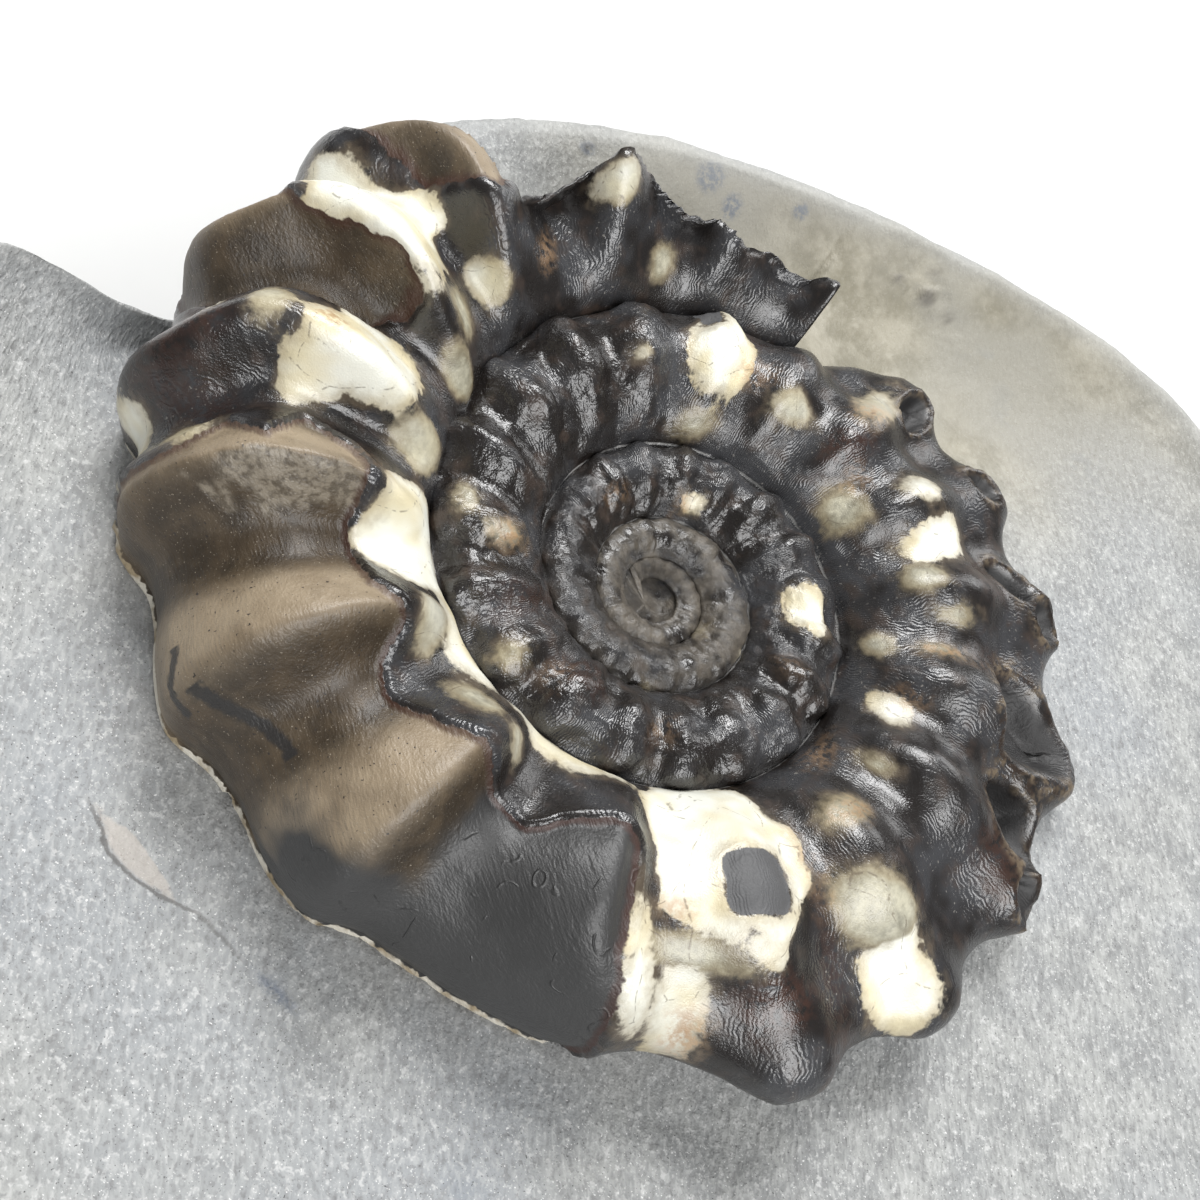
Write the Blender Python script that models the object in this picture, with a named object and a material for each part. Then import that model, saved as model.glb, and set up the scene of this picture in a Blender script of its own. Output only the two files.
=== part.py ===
"""Ammonite fossil lying in the dish of its grey limestone nodule.

Two pieces: the coiled ammonite, and the loose nodule that it was found in.
Metres, +Z up.  The nodule rests on its flat underside at z = 0.
Growth angles are in degrees along the spiral, and the shell grows clockwise seen from above.
"""
import math

import bmesh
import bpy

MM = 0.001
SHARP_ANGLE = 50.0
SHELL_COLOUR = (0.10, 0.075, 0.06)
SHELL_ROUGHNESS = 0.28
STONE_COLOUR = (0.39, 0.39, 0.37)
STONE_ROUGHNESS = 0.85

# Place of the coil's centre, in the middle plane of the shell
COIL_CENTRE = (-7.66 * MM, 2.98 * MM, 24.0 * MM)

# Coil: a logarithmic spiral
SEAM_RADIUS = 12.8 * MM          # radius of the umbilical seam at SEAM_AT
SEAM_AT = 860.0
GROWTH_PER_DEGREE = 0.001822     # the coil grows 1.93 times in each turn
OVAL = 0.07                      # share that the longer side stands out
OVAL_AZIMUTH = 82.0
FIRST_ANGLE = -532.0
DIMPLE = (-90.0, 0.35, 0.1)      # middle of the coil: growth angle back, radius and height shares
LAST_ANGLE = 976.0               # where the broken whorl ends
TURN = 360.0
COVERED_ANGLE = LAST_ANGLE - TURN        # the next whorl hides the venter up to here
ROWS_PER_TURN = 80
STEP = TURN / ROWS_PER_TURN

# Whorl section, as shares of the seam radius
VENTER_REACH = 1.90              # outermost radius of the whorl
SECTION_CENTRE = 1.44
HALF_WIDTH = 0.56                # from the middle plane to the top of the flank
ANGLE_AT_SEAM = 161.0            # section angles: 0 at the venter, 90 on top
ANGLE_UNDER_NEXT_WHORL = 38.0    # where the next whorl covers the flank

# Section angles of the facets
TOP_ANGLES = (161.0, 140.0, 117.0, 94.0, 70.0, 50.0)
VENTER_ANGLES = (38.0, 28.0, 14.0, 0.0, -16.0)
UNDER_ANGLES = (-34.0, -58.0, -82.0, -108.0, -134.0)

# Last part: the whorl gets lower and bulges out, then only its inner side is left
LOW_START = 850.0
LOW_END = 920.0
LOW_SHARE = 0.14
SWELL = 0.065                    # share of the seam radius
SWELL_ANGLE = 887.0
SWELL_LENGTH = 19.0              # degrees along the coil
WHOLE = 10.0                     # a reach past everything
BREAK_REACH = ((913.0, 1.84), (919.0, 1.26), (925.0, 1.22), (936.0, 1.30), (946.0, 1.18),
               (956.0, 1.12), (976.0, 1.10))

# Ribs, and the keel of tubercles that their outer ends stand on
RIB_CRESTS = (618.0, 637.0, 656.0, 676.0, 698.0, 718.0, 741.0, 764.0, 788.0, 814.0,
              838.0, 858.0, 876.0, 895.0, 913.0, 936.0, 957.0, 976.0)
INNER_RIB_SPACING = 19.0
RIB_HEIGHT = 0.09                # crest above valley, as a share of the seam radius
BODY_RIB_HEIGHT = 0.19           # the same on the body chamber
RIB_MIDDLE = 0.5                 # share of a rib's height that lies under the plain whorl
BODY_RIB_MIDDLE = 0.6
BODY_RIBS_START = 765.0
BODY_RIBS_FULL = 800.0
RIB_SHARPNESS = 1.25
RIB_TO_SEAM = 60.0               # degrees of the section over which a rib rises from the seam
VENTER_RIB_SHARE = 0.42          # how much of a rib is left on the venter
VENTER_RIB_ANGLES = (-5.0, 60.0)
UNDER_RIB_ANGLES = (-70.0, -10.0)
TUBERCLE_HEIGHT = 0.36
TUBERCLE_LATE_HEIGHT = 0.26      # the last ones are lower
TUBERCLES_LOWER = (690.0, 760.0)
TUBERCLE_ANGLE = 20.0
TUBERCLE_SPREAD = 19.0           # degrees round the section
TUBERCLE_LENGTH = 5.5            # degrees along the coil
TUBERCLE_FLAT = 1.35             # above 1 the tips are blunt
KEEL_SHARE = 0.74                # height between two tubercles
KEEL_RISE = 14.0                 # degrees over which the keel comes out from under the break
SPINES_END = 768.0               # from here on only the rounded filling is left
SPINES_FADE = 8.0
SPINES_LEFT = 0.1
LEAN = ((720.0, 0.0), (760.0, 7.0), (785.0, 7.0), (805.0, 0.0), (856.0, 0.5), (876.0, 7.5),
        (902.0, 7.5), (924.0, 3.0))      # degrees that the outer ends of the ribs lie back
LEAN_SECTION = (25.0, 80.0)

# Underside of the ammonite, hidden in the stone
WEB_RADIUS = 4.0 * MM
WEB_DEPTH = 4.2 * MM

# Nodule: azimuth in degrees, radius of the rim and its height over the shell's middle plane
RIM_POINTS = (
    (0.0, 43.0 * MM, 4.2 * MM),
    (33.0, 43.5 * MM, 4.2 * MM),
    (66.0, 38.6 * MM, 4.0 * MM),
    (88.0, 32.6 * MM, 3.2 * MM),
    (99.0, 30.0 * MM, 2.8 * MM),
    (112.0, 28.2 * MM, 2.4 * MM),
    (137.0, 26.9 * MM, 1.4 * MM),
    (152.0, 26.3 * MM, 1.3 * MM),
    (164.0, 26.0 * MM, 0.4 * MM),
    (174.0, 25.4 * MM, -3.6 * MM),
    (188.0, 25.2 * MM, -5.0 * MM),
    (197.0, 26.6 * MM, -1.6 * MM),
    (204.0, 30.6 * MM, 3.0 * MM),
    (232.0, 37.0 * MM, 3.2 * MM),
    (270.0, 41.5 * MM, 4.6 * MM),
    (315.0, 43.5 * MM, 4.8 * MM),
)
CONTACT_LOW = -2.4 * MM          # height where the stone meets the shell on the low side
CONTACT_HIGH = 1.6 * MM          # the same along the tubercles
CONTACT_BROKEN = 0.0 * MM        # the same under the broken end
CONTACT_OVERHANG = -4.4 * MM     # lowered by this where the whorl hangs over the nodule's edge
OVERHANG_ANGLE = 892.0
OVERHANG_LENGTH = 13.0
TUBERCLES_LOW = 705.0            # growth angle where the stone starts to fall away
CONTACT_RAMP = 60.0
CONTACT_SEARCH = (45.0, -75.0)   # section angles between which the contact lies
HALVINGS = 20
GAP = 0.4 * MM
FLOOR_GAP = 2.0 * MM
BROKEN_GAP = 1.0 * MM            # the stone stands further off the broken end
BROKEN_GAP_FADE = (5.0, 18.0)    # degrees past the first bare row
BROKEN_GAP_RISE = 14.0
RIM_ROUND = ((0.9 * MM, 0.5 * MM), (2.0 * MM, 2.2 * MM))     # out and down from the rim
BULGE = 3.4 * MM                 # how far the side swells past the rim
BULGE_DEPTH = 8.5 * MM
CUT_AWAY_ANGLES = (152.0, 172.0, 192.0, 212.0)   # azimuths where the side is cut away
CUT_AWAY_BULGE = 5.0 * MM
BASE_SHARE = 0.60                # flat underside against the rim
LUMP_HEIGHT = 1.5 * MM
LUMP_WAVES = ((2.0, 3.0, 0.6, 0.5), (5.0, -4.0, 2.1, 0.35), (9.0, 7.0, 0.0, 0.2))
DISH_MARGIN = 0.16               # the dish starts this share past the plain whorl
DISH_LEAST = 0.8 * MM
DISH_CURVE = 1.5                 # above 1 the dish steepens towards its rim
DISH_SHARES = (0.02, 0.2, 0.4, 0.62, 0.82, 0.95)
SIDE_ANGLES = (0.0, 26.0, 48.0, 68.0)

# Channel that the lost part of the whorl left in the stone
CHANNEL_START = 928.0
CHANNEL_END = 1032.0
CHANNEL_FADE = 30.0
CHANNEL_DEPTH = 2.2 * MM
CHANNEL_CURVE = 0.8              # below 1 the channel is deepest near the shell


def seam_radius(angle):
    """Spiral radius, a little longer on one side because the coil is slightly oval."""
    oval = 1.0 + OVAL * math.cos(math.radians(angle + OVAL_AZIMUTH))
    return SEAM_RADIUS * math.exp(GROWTH_PER_DEGREE * (angle - SEAM_AT)) * oval


def smooth(value, low, high):
    """Eased step from 0 at low to 1 at high."""
    share = min(1.0, max(0.0, (value - low) / (high - low)))
    return share * share * (3.0 - 2.0 * share)


def rib_neighbours(angle):
    """Rib crest at or before a growth angle, and the crest after it."""
    first = RIB_CRESTS[0]
    if angle < first:
        steps = math.ceil((first - angle) / INNER_RIB_SPACING)
        before = first - steps * INNER_RIB_SPACING
        return before, before + INNER_RIB_SPACING
    for before, after in zip(RIB_CRESTS, RIB_CRESTS[1:]):
        if angle < after:
            return before, after
    return RIB_CRESTS[-1], RIB_CRESTS[-1] + INNER_RIB_SPACING


def rib_wave(angle):
    """1 on a rib's crest and 0 in the valley between two ribs."""
    before, after = rib_neighbours(angle)
    phase = (angle - before) / (after - before)
    return (0.5 + 0.5 * math.cos(2.0 * math.pi * phase)) ** RIB_SHARPNESS


def window(value, marks):
    """1 between the two middle marks, 0 outside the outer two, eased in between."""
    return smooth(value, marks[0], marks[1]) * (1.0 - smooth(value, marks[2], marks[3]))


def between(marks, angle):
    """Value at a growth angle, eased from one mark to the next."""
    for (low, near), (high, far) in zip(marks, marks[1:]):
        if angle <= high:
            return near + (far - near) * smooth(angle, low, high)
    return marks[-1][1]


def tubercle(angle, section_angle):
    """Height of the keel and the tubercles on it, from 0 to 1."""
    before, after = rib_neighbours(angle)
    away = min(angle - before, after - angle) / TUBERCLE_LENGTH
    across = (section_angle - TUBERCLE_ANGLE) / TUBERCLE_SPREAD
    tip = min(1.0, TUBERCLE_FLAT * math.exp(-away * away))
    keel = KEEL_SHARE + (1.0 - KEEL_SHARE) * tip
    out = smooth(angle, COVERED_ANGLE, COVERED_ANGLE + KEEL_RISE)
    return keel * math.exp(-across * across) * out


def relief(angle, section_angle):
    """Height of ribs and tubercles, as a share of the seam radius."""
    along = angle + between(LEAN, angle) * (1.0 - smooth(section_angle, *LEAN_SECTION))
    to_seam = smooth(section_angle, ANGLE_AT_SEAM, ANGLE_AT_SEAM - RIB_TO_SEAM)
    on_venter = smooth(section_angle, *VENTER_RIB_ANGLES)
    over_venter = VENTER_RIB_SHARE + (1.0 - VENTER_RIB_SHARE) * on_venter
    below = smooth(section_angle, *UNDER_RIB_ANGLES)
    body = smooth(angle, BODY_RIBS_START, BODY_RIBS_FULL)
    rib = RIB_HEIGHT + (BODY_RIB_HEIGHT - RIB_HEIGHT) * body
    middle = RIB_MIDDLE + (BODY_RIB_MIDDLE - RIB_MIDDLE) * body
    height = rib * (rib_wave(along) - middle) * to_seam * over_venter * below
    spine = 1.0 - (1.0 - SPINES_LEFT) * smooth(angle, SPINES_END - SPINES_FADE, SPINES_END + SPINES_FADE)
    late = smooth(angle, *TUBERCLES_LOWER)
    spine *= TUBERCLE_HEIGHT + (TUBERCLE_LATE_HEIGHT - TUBERCLE_HEIGHT) * late
    return height + spine * tubercle(along, section_angle)


def break_reach(angle):
    """How far out the whorl is left, as a share of the seam radius."""
    if angle <= BREAK_REACH[0][0]:
        return WHOLE
    return between(BREAK_REACH, angle)


def section_point(angle, section_angle, with_relief=True):
    """Radius and height of a point on the whorl; past the break it stands on a steep wall."""
    scale = seam_radius(angle)
    low = 1.0 - LOW_SHARE * smooth(angle, LOW_START, LOW_END)
    turn = math.radians(section_angle)
    bump = relief(angle, section_angle) if with_relief else 0.0
    past_swell = (angle - SWELL_ANGLE) / SWELL_LENGTH
    centre = 1.0 + (SECTION_CENTRE - 1.0) * low
    reach = (VENTER_REACH - SECTION_CENTRE) * low + SWELL * math.exp(-past_swell * past_swell)
    width = HALF_WIDTH * low
    radius = centre + (reach + bump) * math.cos(turn)
    height = (width + bump) * math.sin(turn)
    limit = break_reach(angle)
    if limit < centre + reach:
        edge = math.degrees(math.acos((limit - centre) / reach))
        if abs(section_angle) < edge:
            radius = limit
            height = width * math.sin(math.radians(edge)) * section_angle / edge
    return radius * scale, height * scale


def place(angle, radius, height):
    """World point at a growth angle, radius and height over the shell's middle plane."""
    turn = -math.radians(angle)
    x, y, z = COIL_CENTRE
    return (x + radius * math.cos(turn), y + radius * math.sin(turn), z + height)


def add_grid(mesh, rows):
    """Quads between neighbouring rows of vertices, as two triangles each."""
    for near, far in zip(rows, rows[1:]):
        for k in range(len(near) - 1):
            mesh.faces.new((near[k], far[k], far[k + 1]))
            mesh.faces.new((near[k], far[k + 1], near[k + 1]))


def add_fan(mesh, loop, centre):
    """Triangles from a closed loop of vertices to one centre vertex."""
    for near, far in zip(loop, loop[1:] + loop[:1]):
        mesh.faces.new((near, far, centre))


def finish_object(name, mesh, colour, roughness):
    """Triangulated, outward-facing object with its own plain material."""
    bmesh.ops.triangulate(mesh, faces=mesh.faces[:])
    bmesh.ops.recalc_face_normals(mesh, faces=mesh.faces[:])
    data = bpy.data.meshes.new(name)
    mesh.to_mesh(data)
    mesh.free()
    data.shade_smooth()
    data.set_sharp_from_angle(angle=math.radians(SHARP_ANGLE))
    thing = bpy.data.objects.new(name, data)
    bpy.context.scene.collection.objects.link(thing)
    material = bpy.data.materials.new(name)
    material.use_nodes = True
    shader = material.node_tree.nodes["Principled BSDF"]
    shader.inputs["Base Color"].default_value = (*colour, 1.0)
    shader.inputs["Roughness"].default_value = roughness
    shader.inputs["Metallic"].default_value = 0.0
    data.materials.append(material)
    return thing


def build_ammonite():
    """One closed spiral: whorls over whorls on top, a plain web across the underside."""
    mesh = bmesh.new()
    count = round((LAST_ANGLE - FIRST_ANGLE) / STEP)
    angles = [LAST_ANGLE - STEP * (count - i) for i in range(count + 1)]
    covered = count - ROWS_PER_TURN          # first row whose venter is not covered

    def vertex(angle, section_angle):
        return mesh.verts.new(place(angle, *section_point(angle, section_angle)))

    def seam_vertex(angle):
        """The seam is where this whorl lies on the one before it."""
        radius, height = section_point(angle - TURN, ANGLE_UNDER_NEXT_WHORL, False)
        return mesh.verts.new(place(angle, radius, height))

    seams = [seam_vertex(angle) for angle in angles]
    rows = []
    for i, angle in enumerate(angles):
        row = [seams[i]] + [vertex(angle, a) for a in TOP_ANGLES[1:]]
        if i <= covered:
            row.append(seams[i + ROWS_PER_TURN])
        rows.append(row)
    web = [None] * (count + 1)
    for i in range(covered, count + 1):
        angle = angles[i]
        shoulder = VENTER_ANGLES[1:] if i == covered else VENTER_ANGLES
        rows[i].extend(vertex(angle, a) for a in shoulder + UNDER_ANGLES)
        last = i == count
        web[i] = web[covered] if last else mesh.verts.new(place(angle, WEB_RADIUS, -WEB_DEPTH))
        rows[i].append(web[i])

    inner = len(TOP_ANGLES) + 1
    add_grid(mesh, [row[:inner] for row in rows[:covered + 1]])
    add_grid(mesh, rows[covered:])

    # Start of the coil: a small dimple closes the middle
    loop = seams[:ROWS_PER_TURN] + rows[0][:0:-1]
    start = seam_radius(FIRST_ANGLE)
    back, radius, height = DIMPLE
    middle = mesh.verts.new(place(FIRST_ANGLE + back, radius * start, height * start))
    add_fan(mesh, loop, middle)

    # Underside of the web
    bottom = mesh.verts.new(place(0.0, 0.0, -WEB_DEPTH))
    add_fan(mesh, web[covered:count], bottom)

    # Broken end: the section of the last row against the whorl before it
    end = rows[count]
    before = rows[covered][inner - 1:]
    mesh.faces.new(end + before[-2:0:-1])
    return finish_object("ammonite", mesh, SHELL_COLOUR, SHELL_ROUGHNESS)


def rim_at(azimuth):
    """Radius and height of the nodule's rim, on a smooth closed curve."""
    azimuth %= TURN
    count = len(RIM_POINTS)
    for k in range(count):
        low = RIM_POINTS[k]
        high = RIM_POINTS[(k + 1) % count]
        span = (high[0] - low[0]) % TURN
        into = (azimuth - low[0]) % TURN
        if into <= span:
            break
    before = RIM_POINTS[k - 1]
    after = RIM_POINTS[(k + 2) % count]
    t = into / span
    before_span = (low[0] - before[0]) % TURN
    after_span = (after[0] - high[0]) % TURN
    values = []
    for axis in (1, 2):
        slope_low = (high[axis] - before[axis]) / (span + before_span) * span
        slope_high = (after[axis] - low[axis]) / (span + after_span) * span
        h00 = (1.0 + 2.0 * t) * (1.0 - t) ** 2
        h10 = t * (1.0 - t) ** 2
        h01 = t * t * (3.0 - 2.0 * t)
        h11 = t * t * (t - 1.0)
        values.append(h00 * low[axis] + h10 * slope_low + h01 * high[axis] + h11 * slope_high)
    return values


def lump(azimuth, level):
    """Slow unevenness of the weathered outside."""
    around = math.radians(azimuth)
    total = 0.0
    for turns, rise, start, share in LUMP_WAVES:
        total += share * math.sin(turns * around + rise * level + start)
    return LUMP_HEIGHT * total


def contact_height(angle):
    """The stone stands higher against the tubercles than round the body chamber."""
    high = 1.0 - smooth(angle, TUBERCLES_LOW, TUBERCLES_LOW + CONTACT_RAMP)
    broken = smooth(angle, LOW_START, LOW_END)
    height = CONTACT_LOW + (CONTACT_HIGH - CONTACT_LOW) * high
    height += (CONTACT_BROKEN - height) * broken
    past = (angle - OVERHANG_ANGLE) / OVERHANG_LENGTH
    return height + CONTACT_OVERHANG * math.exp(-past * past)


def contact_angle(angle):
    """Section angle where the shell goes down into the stone."""
    contact = contact_height(angle)
    high, low = CONTACT_SEARCH
    for _ in range(HALVINGS):
        middle = 0.5 * (low + high)
        if section_point(angle, middle)[1] > contact:
            high = middle
        else:
            low = middle
    return high


def pocket_point(angle, section_angle):
    """Point of the pocket, off the shell by the gap."""
    radius, height = section_point(angle, section_angle)
    next_radius, next_height = section_point(angle, section_angle + 1.0)
    last_radius, last_height = section_point(angle, section_angle - 1.0)
    run = next_radius - last_radius
    rise = next_height - last_height
    length = math.hypot(run, rise)
    near, far = BROKEN_GAP_FADE
    beside_break = 1.0 - smooth(angle, COVERED_ANGLE + near, COVERED_ANGLE + far)
    beside_break += smooth(angle, BREAK_REACH[0][0] - BROKEN_GAP_RISE, BREAK_REACH[0][0])
    gap = GAP + (BROKEN_GAP - GAP) * beside_break
    return radius + gap * rise / length, height - gap * run / length


def pocket_profile(angle):
    """Radius and height of the pocket under the shell, from the contact line inwards."""
    contact = contact_angle(angle)
    halfway = 0.5 * (contact + UNDER_ANGLES[0])
    points = [pocket_point(angle, a) for a in (contact, halfway) + UNDER_ANGLES]
    lowest_radius, lowest_height = points[-1]
    points[-1] = (lowest_radius, lowest_height - 0.5 * FLOOR_GAP)
    points.append((WEB_RADIUS, -WEB_DEPTH - FLOOR_GAP))
    return points


def dish_and_rim(angle, edge_radius, edge_height):
    """Stone from the shell's edge out to the rim, with the channel of the lost whorl."""
    rim_radius, rim_height = rim_at(-angle)
    spread = VENTER_REACH + DISH_MARGIN * (1.0 - smooth(angle, LOW_START, LOW_END))
    spread = min(spread, break_reach(angle))
    foot_radius = max(edge_radius, min(seam_radius(angle) * spread, rim_radius - DISH_LEAST))
    lost = angle if angle > CHANNEL_START else angle + TURN
    channel = smooth(lost, CHANNEL_START, CHANNEL_START + CHANNEL_FADE)
    channel *= 1.0 - smooth(lost, CHANNEL_END - CHANNEL_FADE, CHANNEL_END)
    points = []
    for share in DISH_SHARES:
        radius = foot_radius + (rim_radius - foot_radius) * share
        height = edge_height + (rim_height - edge_height) * share ** DISH_CURVE
        height -= channel * CHANNEL_DEPTH * math.sin(math.pi * share ** CHANNEL_CURVE)
        points.append((radius, height))
    points.append((rim_radius, rim_height))
    whole = 1.0 - window(-angle % TURN, CUT_AWAY_ANGLES)
    for out, down in RIM_ROUND:
        points.append((rim_radius + out * whole, rim_height - down))
    return points


def side_and_base(angle):
    """Weathered side from under the rim down to the edge of the flat underside."""
    azimuth = -angle
    rim_radius = rim_at(azimuth)[0]
    floor = -COIL_CENTRE[2]
    base_radius = rim_radius * BASE_SHARE
    cut_away = window(azimuth % TURN, CUT_AWAY_ANGLES)
    side_radius = rim_radius + BULGE - CUT_AWAY_BULGE * cut_away
    points = []
    for turn in SIDE_ANGLES:
        level = math.radians(turn)
        radius = base_radius + (side_radius - base_radius) * math.cos(level)
        height = -BULGE_DEPTH + (floor + BULGE_DEPTH) * math.sin(level)
        points.append((radius + lump(azimuth, level) * (1.0 - cut_away), height))
    points.append((base_radius, floor))
    return points


def build_matrix():
    """The nodule as profiles round the coil: underside, side, rim, dish and pocket."""
    mesh = bmesh.new()
    rows = []
    for i in range(ROWS_PER_TURN):
        angle = LAST_ANGLE - STEP * (ROWS_PER_TURN - 1 - i)
        pocket = pocket_profile(angle)
        outside = dish_and_rim(angle, *pocket[0]) + side_and_base(angle)
        points = outside[::-1] + pocket
        rows.append([mesh.verts.new(place(angle, r, h)) for r, h in points])
    rows.append(rows[0])
    under = mesh.verts.new(place(0.0, 0.0, -COIL_CENTRE[2]))
    pocket_floor = mesh.verts.new(place(0.0, 0.0, -WEB_DEPTH - FLOOR_GAP))
    add_grid(mesh, rows)
    add_fan(mesh, [row[0] for row in rows[:-1]], under)
    add_fan(mesh, [row[-1] for row in rows[:-1]], pocket_floor)
    return finish_object("matrix", mesh, STONE_COLOUR, STONE_ROUGHNESS)


for thing in list(bpy.data.objects):
    bpy.data.objects.remove(thing, do_unlink=True)
build_ammonite()
build_matrix()
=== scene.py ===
"""Looks of an ammonite fossil lying in the dish of its limestone nodule.

The coil and the stone are modelled as fine meshes over the same spiral and profiles as the CAD
solids, and stand for them.  Growth angles run along the spiral in degrees, and the shell grows
clockwise seen from above.  Section angles run round the whorl: 0 at the venter, 90 on top.
Shapes are worked out in millimetres from the coil's centre.
"""
import itertools
import math
from types import SimpleNamespace

import bmesh
import bpy
import numpy as np
from mathutils import Matrix, Vector
from mathutils.geometry import tessellate_polygon


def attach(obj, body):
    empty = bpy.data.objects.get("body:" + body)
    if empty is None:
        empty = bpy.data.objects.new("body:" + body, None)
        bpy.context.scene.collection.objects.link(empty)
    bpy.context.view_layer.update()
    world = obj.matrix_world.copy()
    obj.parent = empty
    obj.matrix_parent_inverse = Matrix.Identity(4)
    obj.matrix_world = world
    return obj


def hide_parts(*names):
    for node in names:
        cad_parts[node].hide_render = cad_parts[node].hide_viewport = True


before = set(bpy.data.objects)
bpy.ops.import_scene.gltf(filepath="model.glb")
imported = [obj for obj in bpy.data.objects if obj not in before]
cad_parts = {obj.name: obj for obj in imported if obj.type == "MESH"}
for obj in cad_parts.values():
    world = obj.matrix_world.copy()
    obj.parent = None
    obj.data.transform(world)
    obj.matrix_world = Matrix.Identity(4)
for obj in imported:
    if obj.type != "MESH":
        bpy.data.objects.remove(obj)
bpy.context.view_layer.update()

MM = 0.001
TURN = 360.0
COIL_CENTRE = np.array((-7.66, 2.98, 24.0)) * MM
FLOOR = -COIL_CENTRE[2] / MM  # height of the flat underside

# Spiral
SEAM_RADIUS = 12.8  # radius of the umbilical seam at SEAM_AT
SEAM_AT = 860.0
GROWTH_PER_DEGREE = 0.001822
OVAL = 0.07  # share that the longer side stands out
OVAL_AZIMUTH = 82.0
LAST_ANGLE = 976.0
COVERED_ANGLE = LAST_ANGLE - TURN  # from here on the whorl's outer side is bare

# Fine grid: the last turn has two rows and two columns for each one of the inner whorls
INNER_ROWS = 300
OUTER_ROWS = 600
INNER_COUNT = 957
FIRST_ANGLE = COVERED_ANGLE - INNER_COUNT * TURN / INNER_ROWS
INNER_COLUMNS = 30
FLANK_COLUMNS = 60
VENTER_COLUMNS = 44
UNDER_ANGLES = (-46, -60, -78, -96, -116, -134)
DIMPLE = (-90.0, 0.35, 0.1)  # middle of the coil: growth angle back, radius, height

# Whorl section, as shares of the seam radius
VENTER_REACH = 1.90
SECTION_CENTRE = 1.44
FLANK_SHARE = 0.5  # mean radius of the section, to measure round it
HALF_WIDTH = 0.56
ANGLE_AT_SEAM = 161.0
ANGLE_UNDER_NEXT = 38.0
UNDER_NEXT_FADE = (13.0, 12.0)  # degrees round the section and along the coil
VENTER_LOW_ANGLE = -34.0
SEAM_TUCK = 0.07
SEAM_TUCK_START = 118.0
LOW_START = 850.0
LOW_END = 920.0
LOW_SHARE = 0.14
SWELL = 0.065
SWELL_ANGLE = 887.0
SWELL_LENGTH = 19.0
WHOLE = 10.0  # a reach past everything
BREAK_REACH = ((913, 1.84), (919, 1.26), (925, 1.22), (936, 1.30), (946, 1.18), (956, 1.12),
               (976, 1.10))
BREAK_TEETH = ((0.032, 7.1, 3), (0.010, 2.3, 4))  # height, length in degrees, seed
BREAK_TEETH_FADE = 6.0

# Ribs, and the keel of tubercles that their outer ends stand on
RIB_CRESTS = (618, 637, 656, 676, 698, 718, 741, 764, 788, 814, 838, 858, 876, 895, 913, 936, 957,
              976)
INNER_RIB_SPACING = 19.0
RIB_HEIGHT = 0.09
BODY_RIB_HEIGHT = 0.20
RIB_SHARPNESS = 1.25
BODY_RIB_SHARPNESS = 1.6
BODY_RIBS = (765.0, 800.0)  # growth angles over which the body's ribs take over
BODY_RIB_SKEW = 0.15
RIB_MIDDLE = 0.5  # share of a rib's height under the plain whorl
BODY_RIB_DROP = 0.1
RIB_TO_SEAM = 60.0
VENTER_RIB_SHARE = 0.42
VENTER_RIB_ANGLES = (-5.0, 60.0)
UNDER_RIB_ANGLES = (-70.0, -10.0)
INNER_WHORLS = (560.0, 640.0)  # growth angles over which the rough inner whorls end
UNEVEN_RIBS = (0.15, 0.75, 34.0, 5)  # steady and random share, length in degrees, seed
EARLY_RIB_SHARE = 0.35
EARLY_RIBS = (-60.0, 320.0)
TUBERCLE_HEIGHT = 0.36
TUBERCLE_LATE_HEIGHT = 0.26
TUBERCLES_LOWER = (690.0, 760.0)
TUBERCLE_ANGLE = 20.0
TUBERCLE_SPREAD = 19.0
TUBERCLE_LENGTH = 5.5
TUBERCLE_FLAT = 1.35  # above 1 the tips are blunt
KEEL_SHARE = 0.74
KEEL_RISE = 14.0
SPINES_END = 768.0
SPINES_FADE = 8.0
SPINES_LEFT = 0.1
LEAN = ((720, 0), (760, 7), (785, 7), (805, 0), (856, 0.5), (876, 7.5), (902, 7.5), (924, 3))
LEAN_SECTION = (25.0, 80.0)
RIB_HIGHLIGHT_SHIFT = 0.18  # how far the painted highlight on the filling's ribs sits past each crest, towards the lit side, as a share of the spacing

# Broken tubercles: growth and section angle, half length and half width in mm, depth in mm
PITS = (
    (655, 31, 0.95, 0.7, 1), (671.5, 38, 1.2, 1.15, 1.2), (677, 28, 1.05, 1, 1.3),
    (695.5, 45, 2.4, 3.4, 2), (711, 38, 1.65, 2.5, 1.9), (717.5, 26, 1.2, 1.2, 1.4),
    (639.5, 36, 0.9, 1.4, 1.1),
)
PIT_SHARES = (1.85, 0.78)  # radii to measure along the coil and round the section
PIT_RAGGED = 0.22
PIT_WALL = (0.55, 1.05)
PIT_LIP = (1.12, 0.20)  # middle and width, as shares of the pit's size
PIT_LIP_HEIGHT = 0.05
PIT_LIP_ROUGH = ((0.16, 0.8, 64),)  # noise as below

# Shell over the bare filling
SHELL_THICKNESS = 0.34  # the bare filling lies this much below the shell
SHELL_STEP = (-0.18, 0.20)
STEP_MIDDLE = 0.3
SHELL_EDGE = (-0.22, 0.22, 0.08)  # raised border: distance inside, width, height
HOLE_DROP = (-0.08, 0.10, 0.10)  # distances inside over which it drops, and how far
CREAM_RISE = (-0.1, 0.3, 0.04)
CREAM_OFF_BARE = 0.3  # the cream ends this far inside the filling's border
FINE_AT = 5.0  # seam radius from which lumps have their full height
OUTER_ROUGHNESS = 0.12  # share of the inner whorls' roughness left further out
CALM_AT_SEAM = 12.0
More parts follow.
